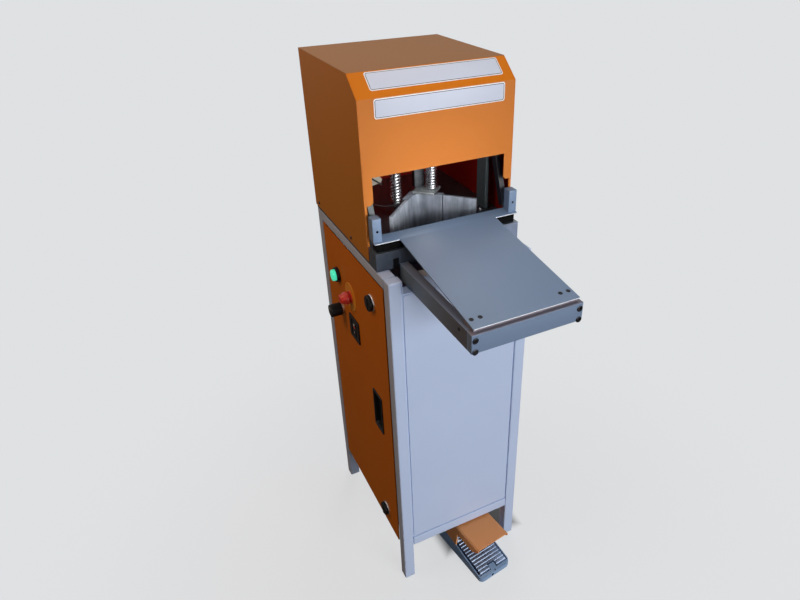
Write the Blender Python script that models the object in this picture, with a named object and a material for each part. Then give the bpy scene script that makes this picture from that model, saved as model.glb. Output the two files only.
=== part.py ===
"""Case corner rounding machine: steel cabinet, sheet hood, infeed table, corner press and foot pedal.

Metres, +Z up.  The design frame has x = 0 on the machine's centre plane, y = 0 on the cabinet's
front face with +Y to the rear, and z = 0 on the floor.  The origin empty then moves everything so
that the model stands over its own middle.
"""
import math

import bmesh
import bpy
from mathutils import Matrix, Vector

# Clearances
SEAT = 0.0003            # between pieces that touch
RUNNING = 0.0004         # radial, at rods, pins and knobs
SWING = 0.005            # between a moving piece and what it passes

# Cabinet
CABINET_WIDTH = 0.360
CABINET_DEPTH = 0.475
CABINET_TOP = 0.975
TUBE = 0.030             # square tube of posts and rails
TUBE_RADIUS = 0.003
BOTTOM_RAIL_Z = 0.128    # underside of the bottom rails
FRONT_RAIL_HEIGHT = 0.034
SIDE_RAIL_HEIGHT = 0.027
PANEL_SHEET = 0.003
PANEL_GAP = 0.0035
FRONT_PANEL_RADIUS = 0.006
PANEL_SEAT_DEPTH = 0.002   # panel face behind the tube face

# Side door
DOOR_FRONT_GAP = 0.006
DOOR_AXIS_IN = 0.006       # hinge axis behind the door's face
DOOR_AXIS_FROM_EDGE = 0.007
DOOR_BARREL_RADIUS = 0.005
DOOR_PIN_RADIUS = 0.0025
DOOR_PIN_DEPTH = 0.004
DOOR_LUG_HEIGHT = 0.006    # the lower pin turns in a lug on the rear post
DOOR_LUG_WIDTH = 0.012

# Base block and hood
BLOCK_FRONT_Y = 0.062
BLOCK_HEIGHT = 0.0425
HOOD_SHEET = 0.002
HOOD_FRONT_Y = 0.104
HOOD_LIFT = 0.009        # hood's lower edge above the cabinet top
HOOD_FACE_HEIGHT = 0.160   # front face above the window
HOOD_FOLD_RADIUS = 0.004
CHAMFER_DEPTH = 0.050
CHAMFER_HEIGHT = 0.042
WINDOW_HEIGHT = 0.1552     # above the base block
WINDOW_LEG_DROP = 0.061    # the legs beside the window end this far below its top
WINDOW_LEG_WIDTH = 0.021
WINDOW_CORNER = 0.006
HOOD_RETURN = 0.006        # sheet turned in along the sides of the window

# Infeed table
TABLE_SIDE_INSET = 0.060   # of the table, inside the cabinet's side face
TABLE_STRIP_INSET = 0.001  # inside the cabinet's side face
TABLE_FRONT_Y = -0.253
TABLE_REAR_Y = 0.097
TABLE_NOTCH_Y = 0.066
TABLE_FRONT_LIFT = 0.0204  # of its front edge, above the cabinet
TABLE_SLOPE = math.radians(8.0)
TABLE_SHEET = 0.006
TABLE_HOLE_RADIUS = 0.004
TABLE_HOLE_INSET = (0.010, 0.029)   # from the table's side edge
TABLE_HOLE_SETBACK = 0.026          # from its front edge
EAR_WIDTH = 0.020
EAR_DEPTH = 0.023
EAR_FRONT_Y = 0.072
EAR_HEIGHT = 0.053         # above the table
EAR_HOLE_RADIUS = 0.003
EAR_HOLE_DROP = 0.029
EAR_HOLE_DEPTH = 0.008
BAR_REVEAL = 0.006         # bars stand out beyond the table
BAR_WIDTH = 0.020
BAR_HEIGHT = 0.042
BAR_NOTCH_FLOOR = 0.002    # tube left under the notch for a bar
BAR_NOTCH_POST_GAP = 0.002
FRONT_BAR_Y = -0.259
FRONT_BAR_DEPTH = 0.020
PACKER_DEPTH = 0.036
PACKER_SETBACK = 0.009
REST_FRONT_Y = 0.070
REST_DEPTH = 0.024

# Corner press
FENCE_APEX_Y = 0.241       # where the two fence faces would meet
FENCE_HEIGHT = 0.0442
FENCE_SHEET = 0.008
FENCE_REACH = 0.107        # sideways reach of each wing
BLOCK_LEFT_REACH = 0.034
BLOCK_RIGHT_REACH = 0.0475
FENCE_SPLIT = 0.002        # the dark slit beside the right wing
CORNER_RADIUS = 0.025
FORMING_DEPTH = 0.016
FOOT_CENTRE = (0.023, 0.226)
FOOT_SIDE = 0.054
FOOT_SHEET = 0.006
FOOT_HOVER = SWING         # above the fence tops at rest
CLAMP_LIFT = 0.012
ROD_RADIUS = 0.006
MOVING_ROD = (0.034, 0.222)
FIXED_ROD = (-0.054, 0.234)
ROD_STANDOUT = 0.025       # above the crosshead
SPRING_RADIUS = 0.0125     # to the middle of the wire
SPRING_WIRE = 0.0015       # wire radius
SPRING_TURNS = 26
SPRING_PITCH_SHUT = 0.0032   # pitch of the closed turn at each end
COLLAR_LIFT = 0.026        # spring collar's foot above the base block
COLLAR_HEIGHT = 0.006
RAM_X = (0.000, 0.026)
RAM_Y = (0.244, 0.260)
RAM_STANDOUT = 0.035
COLUMN_INSET = 0.019       # inside the table strip's side edge
COLUMN_SHEET = 0.010
COLUMN_Y = (0.165, 0.205)
COLUMN_STANDOUT = 0.010
CROSSHEAD_DROP = 0.135     # below the hood's top
CROSSHEAD_HEIGHT = 0.025
CROSSHEAD_REAR_Y = 0.290
STAY_SHEET = 0.010
STAY_WIDTH = 0.018
STAY_LIFT = 0.003          # its foot above the table
STAY_TOP_DROP = 0.005      # its top below the crosshead

# Controls on the side door, as (y, z) places
START_PLACE = (0.350, 0.831)
STOP_PLACE = (0.262, 0.808)
KNOB_PLACE = (0.335, 0.735)
SWITCH_PLACE = (0.249, 0.7185)
LATCH_PLACES = {"latch_upper": (0.110, 0.873), "latch_lower": (0.112, 0.184)}
PULL_PLACE = (0.118, 0.539)
START_BEZEL_RADIUS = 0.020
START_BEZEL_HEIGHT = 0.010
START_LENS_RADIUS = 0.0150
START_LENS_HEIGHT = 0.019
START_TRAVEL = 0.003
STOP_RING_RADIUS = 0.038
STOP_RING_HEIGHT = 0.0015
STOP_COLLAR_HEIGHT = 0.004
STOP_NECK_RADIUS = 0.011
STOP_HEAD_RADIUS = 0.0175
STOP_NOSE_RADIUS = 0.0080
STOP_HEAD_LOW = 0.009
STOP_STAND = 0.030
STOP_TRAVEL = 0.004
KNOB_RADIUS = 0.0175
KNOB_HEIGHT = 0.031
KNOB_FLUTES = 20
KNOB_FLUTE_DEPTH = 0.0007
KNOB_COLLAR_RADIUS = 0.013
KNOB_COLLAR_HEIGHT = 0.006
SWITCH_SIZE = 0.066
SWITCH_HEIGHT = 0.0035
SWITCH_ROCKER = (0.036, 0.046)   # sunk field that the rocker stands in
LATCH_RADIUS = 0.020
LATCH_HEIGHT = 0.013
PULL_WIDTH = 0.058
PULL_HEIGHT = 0.120
PULL_CORNER = 0.006
PULL_FLANGE = 0.0025
PULL_RECESS = 0.014
PULL_WALL = 0.003

# Foot pedal, in its own frame: front edge at y = 0, +Y to the toe
PEDAL_FRONT = (0.057, -0.107)
PEDAL_TURN = math.radians(7.9)
PEDAL_WIDTH = 0.108
PEDAL_LENGTH = 0.235
PEDAL_CORNERS = (0.012, 0.016)   # of the front, left and right
PEDAL_FLOOR = 0.004
PEDAL_CHEEK = 0.003
PEDAL_APRON = 0.010        # front lip before the tread
PEDAL_FRONT_Z = 0.015      # height of the rim at the front
PEDAL_RISE = math.radians(11.0)
PEDAL_HOLE_RADIUS = 0.0025
PEDAL_HOLE_Y = 0.0045
PEDAL_LUG_HALF = 0.010
PEDAL_LUG_LENGTH = 0.015
TREAD_HEEL_GAP = 0.0015
TREAD_LUG_GAP = 0.0025
TREAD_TOE_GAP = 0.009      # 5 mm is left when the tread is down
TREAD_SHEET = 0.008
TREAD_PROUD = 0.002
TREAD_PIN_RADIUS = 0.003
TREAD_PIN_BACK = 0.0045    # pin behind the tread's front edge
TREAD_PIN_DROP = 0.0055    # and below the rim
TREAD_RIBS = 21
TREAD_RIB_HEIGHT = 0.002
GUARD_TOP_Z = 0.122
GUARD_FRONT_Y = 0.018
GUARD_LIP = 0.006          # upright edge under the chamfer, at the front
GUARD_SKIRT = 0.030        # depth of the sides over the tread
GUARD_SKIRT_Y = 0.042      # where they reach that depth
GUARD_WALL_Y = (0.116, 0.122)   # front edge of the side walls, at the top and at the rim
GUARD_SHEET = 0.003
GUARD_CHAMFER = 0.004

# Worked out from the sizes above
CABINET_HALF = CABINET_WIDTH / 2
POST_INNER = CABINET_HALF - TUBE
FRONT_PANEL_HALF = POST_INNER - PANEL_GAP
BLOCK_Z = CABINET_TOP + SEAT
BLOCK_TOP_Z = BLOCK_Z + BLOCK_HEIGHT
FRONT_RAIL_Z = CABINET_TOP - FRONT_RAIL_HEIGHT
SIDE_RAIL_Z = CABINET_TOP - SIDE_RAIL_HEIGHT
HOOD_HALF = CABINET_HALF + HOOD_SHEET
HOOD_BOTTOM_Z = CABINET_TOP + HOOD_LIFT
WINDOW_TOP_Z = BLOCK_TOP_Z + WINDOW_HEIGHT
WINDOW_LEG_Z = WINDOW_TOP_Z - WINDOW_LEG_DROP
WINDOW_HALF = HOOD_HALF - WINDOW_LEG_WIDTH
HOOD_TOP_Z = WINDOW_TOP_Z + HOOD_FACE_HEIGHT + CHAMFER_HEIGHT
TABLE_STRIP_HALF = CABINET_HALF - TABLE_STRIP_INSET
TABLE_HALF = CABINET_HALF - TABLE_SIDE_INSET
TABLE_FRONT_Z = CABINET_TOP + TABLE_FRONT_LIFT
BAR_OUTER = TABLE_HALF + BAR_REVEAL
BAR_NOTCH_OUTER = POST_INNER - BAR_NOTCH_POST_GAP
BAR_Z = FRONT_RAIL_Z + BAR_NOTCH_FLOOR + SEAT
BAR_TOP_Z = BAR_Z + BAR_HEIGHT
COLUMN_OUTER = TABLE_STRIP_HALF - COLUMN_INSET
CROSSHEAD_Z = HOOD_TOP_Z - CROSSHEAD_DROP
CROSSHEAD_TOP_Z = CROSSHEAD_Z + CROSSHEAD_HEIGHT
ROD_TOP_Z = CROSSHEAD_TOP_Z + ROD_STANDOUT
RAM_TOP_Z = CROSSHEAD_TOP_Z + RAM_STANDOUT
FENCE_Z = BLOCK_TOP_Z + SEAT
FENCE_TOP_Z = FENCE_Z + FENCE_HEIGHT
FOOT_Z = FENCE_TOP_Z + FOOT_HOVER
DOOR_X = -CABINET_HALF
DOOR_INNER_X = DOOR_X + PANEL_SHEET
DOOR_FRONT_Y = TUBE + DOOR_FRONT_GAP
DOOR_LIP = math.hypot(DOOR_AXIS_IN, DOOR_AXIS_FROM_EDGE)   # what the door's rear edge sweeps
DOOR_REAR_Y = CABINET_DEPTH - TUBE - SWING - (DOOR_LIP - DOOR_AXIS_FROM_EDGE)
DOOR_TOP_Z = SIDE_RAIL_Z - SWING
DOOR_AXIS = (DOOR_X + DOOR_AXIS_IN, DOOR_REAR_Y - DOOR_AXIS_FROM_EDGE)
LEFT_RAIL_INSET = DOOR_AXIS_IN + DOOR_LIP + SWING
PEDAL_HALF = PEDAL_WIDTH / 2
PEDAL_INNER = PEDAL_HALF - PEDAL_CHEEK
PEDAL_SLOPE = math.tan(PEDAL_RISE)
TREAD_HALF = PEDAL_INNER - SWING
TREAD_FRONT_Y = PEDAL_APRON + TREAD_HEEL_GAP
TREAD_END_Y = PEDAL_LENGTH - PEDAL_CHEEK - TREAD_TOE_GAP
TREAD_PIN_Y = TREAD_FRONT_Y + TREAD_PIN_BACK
TREAD_PIN_Z = PEDAL_FRONT_Z + TREAD_PIN_Y * PEDAL_SLOPE - TREAD_PIN_DROP
KNOB_REACH = KNOB_HEIGHT + KNOB_COLLAR_HEIGHT + RUNNING * 2
CENTRE_X = (-CABINET_HALF - KNOB_REACH + HOOD_HALF) / 2
CENTRE_Y = (FRONT_BAR_Y + CABINET_DEPTH) / 2

ROUND_SIDES = 24

# Finishes: colour, roughness, metallic
FINISHES = {
    "orange_paint": ((0.62, 0.20, 0.035, 1.0), 0.55, 0.0),
    "grey_paint": ((0.47, 0.50, 0.56, 1.0), 0.5, 0.0),
    "slate_paint": ((0.16, 0.20, 0.26, 1.0), 0.5, 0.0),
    "ground_steel": ((0.42, 0.43, 0.45, 1.0), 0.35, 1.0),
    "black_oxide": ((0.03, 0.03, 0.035, 1.0), 0.5, 0.4),
    "bright_steel": ((0.62, 0.62, 0.64, 1.0), 0.2, 1.0),
    "black_plastic": ((0.015, 0.015, 0.017, 1.0), 0.45, 0.0),
    "red_plastic": ((0.55, 0.02, 0.015, 1.0), 0.35, 0.0),
    "yellow_plastic": ((0.75, 0.50, 0.03, 1.0), 0.4, 0.0),
    "green_lens": ((0.05, 0.65, 0.35, 1.0), 0.15, 0.0),
    "cast_alloy": ((0.30, 0.31, 0.32, 1.0), 0.5, 1.0),
}


def clear_scene():
    for old in list(bpy.data.objects):
        bpy.data.objects.remove(old, do_unlink=True)


def finish(name):
    """The Principled material of one finish, made once."""
    material = bpy.data.materials.get(name)
    if material is None:
        material = bpy.data.materials.new(name)
        material.use_nodes = True
        colour, roughness, metallic = FINISHES[name]
        shader = material.node_tree.nodes["Principled BSDF"]
        shader.inputs["Base Color"].default_value = colour
        shader.inputs["Roughness"].default_value = roughness
        shader.inputs["Metallic"].default_value = metallic
        material.diffuse_color = colour
    return material


def add_object(name, mesh_data, parent, finish_name=None, place=(0.0, 0.0, 0.0)):
    """Put a bmesh into a new object under a parent, with flat or auto-smooth faces."""
    mesh = bpy.data.meshes.new(name)
    bmesh.ops.recalc_face_normals(mesh_data, faces=mesh_data.faces)
    mesh_data.to_mesh(mesh)
    mesh_data.free()
    mesh.shade_smooth()
    mesh.set_sharp_from_angle(angle=math.radians(35))
    piece = bpy.data.objects.new(name, mesh)
    bpy.context.scene.collection.objects.link(piece)
    piece.parent = parent
    piece.location = place
    if finish_name is not None:
        mesh.materials.append(finish(finish_name))
    return piece


def add_pivot(name, parent, place=(0.0, 0.0, 0.0), turn=0.0):
    pivot = bpy.data.objects.new(name, None)
    bpy.context.scene.collection.objects.link(pivot)
    pivot.parent = parent
    pivot.location = place
    pivot.rotation_euler = (0.0, 0.0, turn)
    return pivot


def bevel(piece, width, segments=2, angle=40):
    modifier = piece.modifiers.new("edge", "BEVEL")
    modifier.width = width
    modifier.segments = segments
    modifier.limit_method = "ANGLE"
    modifier.angle_limit = math.radians(angle)
    modifier.use_clamp_overlap = True
    return piece


def box_mesh(x_range, y_range, z_range):
    low = Vector((min(x_range), min(y_range), min(z_range)))
    high = Vector((max(x_range), max(y_range), max(z_range)))
    shape = bmesh.new()
    middle = (low + high) / 2
    size = high - low
    bmesh.ops.create_cube(shape, size=1.0, matrix=Matrix.Translation(middle) @ Matrix.Diagonal((*size, 1.0)))
    return shape


def box(name, x_range, y_range, z_range, parent, finish_name, edge=0.0, place=(0.0, 0.0, 0.0)):
    """A block between two corners, given in its parent's frame when place is left out."""
    piece = add_object(name, box_mesh(x_range, y_range, z_range), parent, finish_name, place)
    if edge > 0:
        bevel(piece, edge)
    return piece


def prism_mesh(outline, low, high, axis):
    """A closed outline pushed along x, y or z; its points hold the other two coordinates in order."""
    shape = bmesh.new()
    if axis == "x":
        points = [Vector((low, a, b)) for a, b in outline]
        push = Vector((high - low, 0, 0))
    elif axis == "y":
        points = [Vector((a, low, b)) for a, b in outline]
        push = Vector((0, high - low, 0))
    else:
        points = [Vector((a, b, low)) for a, b in outline]
        push = Vector((0, 0, high - low))
    face = shape.faces.new([shape.verts.new(point) for point in points])
    extruded = bmesh.ops.extrude_face_region(shape, geom=[face])
    moved = [item for item in extruded["geom"] if isinstance(item, bmesh.types.BMVert)]
    bmesh.ops.translate(shape, vec=push, verts=moved)
    return shape


def prism(name, outline, low, high, axis, parent, finish_name, edge=0.0, place=(0.0, 0.0, 0.0)):
    piece = add_object(name, prism_mesh(outline, low, high, axis), parent, finish_name, place)
    if edge > 0:
        bevel(piece, edge, segments=1)
    return piece


def turned_mesh(profile, axis, sides=ROUND_SIDES, flute=0.0):
    """A closed (radius, height) profile spun about x or z; radius 0 makes a pole on the axis.

    With a flute depth, two of every four points round the axis stand that much further in.
    """
    shape = bmesh.new()
    turn = Matrix.Rotation(math.radians(-90), 4, "Y") if axis == "-x" else Matrix.Identity(4)
    rings = []
    for radius, height in profile:
        if radius <= 0:
            rings.append([shape.verts.new(turn @ Vector((0, 0, height)))])
            continue
        ring = []
        for step in range(sides):
            angle = math.tau * (step + 0.5) / sides
            reach = radius - (flute if step % 4 > 1 else 0.0)
            point = Vector((reach * math.cos(angle), reach * math.sin(angle), height))
            ring.append(shape.verts.new(turn @ point))
        rings.append(ring)
    closed = rings[0] is not rings[-1] and len(rings[0]) > 1 and len(rings[-1]) > 1
    pairs = list(zip(rings, rings[1:]))
    if closed:
        pairs.append((rings[-1], rings[0]))
    for lower, upper in pairs:
        for step in range(sides):
            after = (step + 1) % sides
            if len(lower) == 1:
                shape.faces.new((lower[0], upper[step], upper[after]))
            elif len(upper) == 1:
                shape.faces.new((lower[step], upper[0], lower[after]))
            else:
                shape.faces.new((lower[step], lower[after], upper[after], upper[step]))
    return shape


def turned(name, profile, axis, parent, finish_name, place, sides=ROUND_SIDES, flute=0.0):
    return add_object(name, turned_mesh(profile, axis, sides, flute), parent, finish_name, place)


def cut(piece, shape, label, place=(0.0, 0.0, 0.0), operation="DIFFERENCE"):
    """Cut or join a helper shape; the helper shares the piece's parent frame."""
    helper = add_object(piece.name + "_" + label, shape, piece.parent, None, place)
    helper.hide_render = True
    helper.display_type = "WIRE"
    modifier = piece.modifiers.new(label, "BOOLEAN")
    modifier.operation = operation
    modifier.solver = "EXACT"
    modifier.object = helper
    return piece


def cylinder_mesh(radius, low, high, axis="z", sides=ROUND_SIDES):
    profile = [(0.0, low), (radius, low), (radius, high), (0.0, high)]
    if axis == "y":
        shape = turned_mesh(profile, "z", sides)
        bmesh.ops.transform(shape, matrix=Matrix.Rotation(math.radians(-90), 4, "X"), verts=shape.verts)
        return shape
    return turned_mesh(profile, axis, sides)


def rounded_rectangle(half_width, low, high, radius, steps=4):
    """Corner points of a rectangle about x = 0 with rounded corners."""
    centres = (
        (half_width - radius, high - radius, 0),
        (-half_width + radius, high - radius, 90),
        (-half_width + radius, low + radius, 180),
        (half_width - radius, low + radius, 270),
    )
    points = []
    for across, up, start in centres:
        for step in range(steps + 1):
            angle = math.radians(start + 90 * step / steps)
            points.append((across + radius * math.cos(angle), up + radius * math.sin(angle)))
    return points


def moved(outline, across, up):
    """The same outline in another place."""
    return [(a + across, b + up) for a, b in outline]


def folded(outline, radii, steps=4):
    """An outline with its corners rounded, one radius for each point and 0 for a sharp one."""
    points = []
    for number, radius in enumerate(radii):
        corner = Vector(outline[number])
        if radius <= 0:
            points.append(tuple(corner))
            continue
        back = (Vector(outline[number - 1]) - corner).normalized()
        ahead = (Vector(outline[(number + 1) % len(outline)]) - corner).normalized()
        half_angle = back.angle(ahead) / 2
        centre = corner + (back + ahead).normalized() * (radius / math.sin(half_angle))
        reach = radius / math.tan(half_angle)
        first = corner + back * reach - centre
        last = corner + ahead * reach - centre
        for step in range(steps + 1):
            share = step / steps
            spoke = (first * (1 - share) + last * share).normalized() * radius
            points.append(tuple(centre + spoke))
    return points


def build_frame(machine):
    """Four posts on the floor with the rails welded between them."""
    for front_name, y_low in (("front", 0.0), ("rear", CABINET_DEPTH - TUBE)):
        for side_name, sign in (("left", -1), ("right", 1)):
            x_range = (sign * POST_INNER, sign * CABINET_HALF)
            post = box(f"post_{front_name}_{side_name}", x_range, (y_low, y_low + TUBE), (0.0, CABINET_TOP),
                       machine, "grey_paint", TUBE_RADIUS)
            if (front_name, side_name) == ("rear", "left"):
                add_door_lug(post)
    span = POST_INNER - SEAT
    for name, y_low, z_low, height in (
        ("bottom_rail_front", 0.0, BOTTOM_RAIL_Z, TUBE),
        ("bottom_rail_rear", CABINET_DEPTH - TUBE, BOTTOM_RAIL_Z, TUBE),
        ("top_rail_rear", CABINET_DEPTH - TUBE, SIDE_RAIL_Z, SIDE_RAIL_HEIGHT),
    ):
        box(name, (-span, span), (y_low, y_low + TUBE), (z_low, z_low + height), machine, "grey_paint",
            TUBE_RADIUS)
    y_span = (TUBE + SEAT, CABINET_DEPTH - TUBE - SEAT)
    left_x = (-CABINET_HALF + LEFT_RAIL_INSET, -CABINET_HALF + LEFT_RAIL_INSET + TUBE)
    box("bottom_rail_left", left_x, y_span, (BOTTOM_RAIL_Z, BOTTOM_RAIL_Z + TUBE), machine, "grey_paint",
        TUBE_RADIUS)
    box("bottom_rail_right", (POST_INNER, CABINET_HALF - PANEL_SHEET - SEAT), y_span,
        (BOTTOM_RAIL_Z, BOTTOM_RAIL_Z + TUBE), machine, "grey_paint", TUBE_RADIUS)
    top_left = box("top_rail_left", (-CABINET_HALF, -POST_INNER), y_span, (SIDE_RAIL_Z, CABINET_TOP),
                   machine, "grey_paint", TUBE_RADIUS)
    box("top_rail_right", (POST_INNER, CABINET_HALF), y_span, (SIDE_RAIL_Z, CABINET_TOP),
        machine, "grey_paint", TUBE_RADIUS)
    cut(top_left, pin_hole_mesh(), "pin_hole", (*DOOR_AXIS, SIDE_RAIL_Z))
    front = box("top_rail_front", (-span, span), (0.0, TUBE), (FRONT_RAIL_Z, CABINET_TOP), machine,
                "grey_paint", TUBE_RADIUS)
    notch_z = (FRONT_RAIL_Z + BAR_NOTCH_FLOOR, CABINET_TOP + TUBE)
    for side_name, sign in (("left", -1), ("right", 1)):
        x_range = (sign * (BAR_OUTER - BAR_WIDTH - SEAT), sign * BAR_NOTCH_OUTER)
        cut(front, box_mesh(x_range, (-TUBE, 2 * TUBE), notch_z), "notch_" + side_name)


def pin_hole_mesh():
    """Cutter for a door pin's blind hole, the same way up and down from the surface it starts at."""
    reach = DOOR_PIN_DEPTH + SEAT * 2
    return cylinder_mesh(DOOR_PIN_RADIUS + RUNNING, -reach, reach)


def add_door_lug(post):
    """The lug that carries the door's lower pin, welded to the front of the rear post."""
    top = BOTTOM_RAIL_Z - RUNNING
    y_range = (DOOR_AXIS[1] - DOOR_LUG_WIDTH / 2, CABINET_DEPTH - TUBE + SEAT)
    lug = box_mesh((DOOR_X + SEAT, DOOR_X + DOOR_LUG_WIDTH), y_range, (top - DOOR_LUG_HEIGHT, top))
    cut(post, lug, "lug", operation="UNION")
    cut(post, pin_hole_mesh(), "pin_hole", (*DOOR_AXIS, top))


def build_panels(machine):
    """Fixed sheets of the cabinet: front, right side, back and floor."""
    low = BOTTOM_RAIL_Z + TUBE + PANEL_GAP
    high = FRONT_RAIL_Z - PANEL_GAP
    outline = rounded_rectangle(FRONT_PANEL_HALF, low, high, FRONT_PANEL_RADIUS)
    face = PANEL_SEAT_DEPTH
    panel = prism("front_panel", outline, face, face + PANEL_SHEET, "y", machine, "grey_paint")
    seat_z = (low - PANEL_GAP + SEAT, high + PANEL_GAP - SEAT)
    seat_outline = rounded_rectangle(POST_INNER - SEAT, *seat_z, 0.001)
    tray = prism_mesh(seat_outline, face + PANEL_SHEET * 0.9, face + PANEL_SHEET * 2, "y")
    cut(panel, tray, "backing", operation="UNION")
    side_low = BOTTOM_RAIL_Z
    side_high = SIDE_RAIL_Z - SEAT
    box("right_panel", (CABINET_HALF - PANEL_SHEET, CABINET_HALF), (TUBE + SEAT, CABINET_DEPTH - TUBE - SEAT),
        (side_low, side_high), machine, "orange_paint")
    back_y = CABINET_DEPTH - PANEL_SEAT_DEPTH
    box("back_panel", (-POST_INNER + SEAT, POST_INNER - SEAT), (back_y - PANEL_SHEET, back_y),
        (BOTTOM_RAIL_Z + TUBE + SEAT, SIDE_RAIL_Z - SEAT), machine, "grey_paint")
    floor_z = BOTTOM_RAIL_Z + TUBE + SEAT
    inner = -CABINET_HALF + LEFT_RAIL_INSET + TUBE / 2
    box("floor_panel", (inner, POST_INNER - SEAT), (TUBE + SEAT, CABINET_DEPTH - TUBE - SEAT),
        (floor_z, floor_z + PANEL_SHEET), machine, "grey_paint")


def build_hood(machine):
    """Base block, and the sheet hood over it with the working window in its front."""
    box("base_block", (-CABINET_HALF, CABINET_HALF), (BLOCK_FRONT_Y, CABINET_DEPTH - HOOD_SHEET - SEAT),
        (BLOCK_Z, BLOCK_TOP_Z), machine, "slate_paint", 0.001)
    rear = CABINET_DEPTH
    brow = (HOOD_FRONT_Y, HOOD_TOP_Z - CHAMFER_HEIGHT)
    crown = (HOOD_FRONT_Y + CHAMFER_DEPTH, HOOD_TOP_Z)
    fold = HOOD_FOLD_RADIUS
    side = folded([(HOOD_FRONT_Y, HOOD_BOTTOM_Z), (rear, HOOD_BOTTOM_Z), (rear, HOOD_TOP_Z), crown, brow],
                  [0, 0, 0, fold, fold])
    return_z = (BLOCK_TOP_Z + SEAT, WINDOW_LEG_Z - SEAT)
    for side_name, sign in (("left", -1), ("right", 1)):
        sheet = prism(f"hood_side_{side_name}", side, sign * (HOOD_HALF - HOOD_SHEET), sign * HOOD_HALF, "x",
                      machine, "orange_paint")
        turned_in = box_mesh((sign * (HOOD_HALF - HOOD_RETURN), sign * (HOOD_HALF - HOOD_SHEET / 2)),
                             (HOOD_FRONT_Y, HOOD_FRONT_Y + HOOD_SHEET), return_z)
        cut(sheet, turned_in, "return", operation="UNION")
    slant = math.atan2(CHAMFER_HEIGHT, CHAMFER_DEPTH)
    brow_step = HOOD_SHEET * math.tan((math.pi / 2 - slant) / 2)
    crown_step = HOOD_SHEET * math.tan(slant / 2)
    top_rear = rear - HOOD_SHEET - SEAT
    ribbon = folded([
        (HOOD_FRONT_Y, WINDOW_LEG_Z),
        brow,
        crown,
        (top_rear, HOOD_TOP_Z),
        (top_rear, HOOD_TOP_Z - HOOD_SHEET),
        (crown[0] + crown_step, HOOD_TOP_Z - HOOD_SHEET),
        (HOOD_FRONT_Y + HOOD_SHEET, brow[1] - brow_step),
        (HOOD_FRONT_Y + HOOD_SHEET, WINDOW_LEG_Z),
    ], [0, fold, fold, 0, 0, fold - HOOD_SHEET, fold - HOOD_SHEET, 0])
    inside = HOOD_HALF - HOOD_SHEET - SEAT
    front = prism("hood_front", ribbon, -inside, inside, "x", machine, "orange_paint")
    window = [
        (-WINDOW_HALF, WINDOW_TOP_Z),
        (-WINDOW_HALF, WINDOW_LEG_Z + WINDOW_CORNER),
        (-WINDOW_HALF - WINDOW_CORNER, WINDOW_LEG_Z),
        (-WINDOW_HALF - WINDOW_CORNER, WINDOW_LEG_Z - TUBE),
        (WINDOW_HALF + WINDOW_CORNER, WINDOW_LEG_Z - TUBE),
        (WINDOW_HALF + WINDOW_CORNER, WINDOW_LEG_Z),
        (WINDOW_HALF, WINDOW_LEG_Z + WINDOW_CORNER),
        (WINDOW_HALF, WINDOW_TOP_Z),
    ]
    cut(front, prism_mesh(window, HOOD_FRONT_Y - TUBE, HOOD_FRONT_Y + TUBE, "y"), "window")
    box("hood_back", (-inside, inside), (rear - HOOD_SHEET, rear), (HOOD_BOTTOM_Z, HOOD_TOP_Z), machine,
        "orange_paint")


def table_height(y):
    """Height of the table's top surface at a place y."""
    return TABLE_FRONT_Z + (y - TABLE_FRONT_Y) * math.tan(TABLE_SLOPE)


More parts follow.
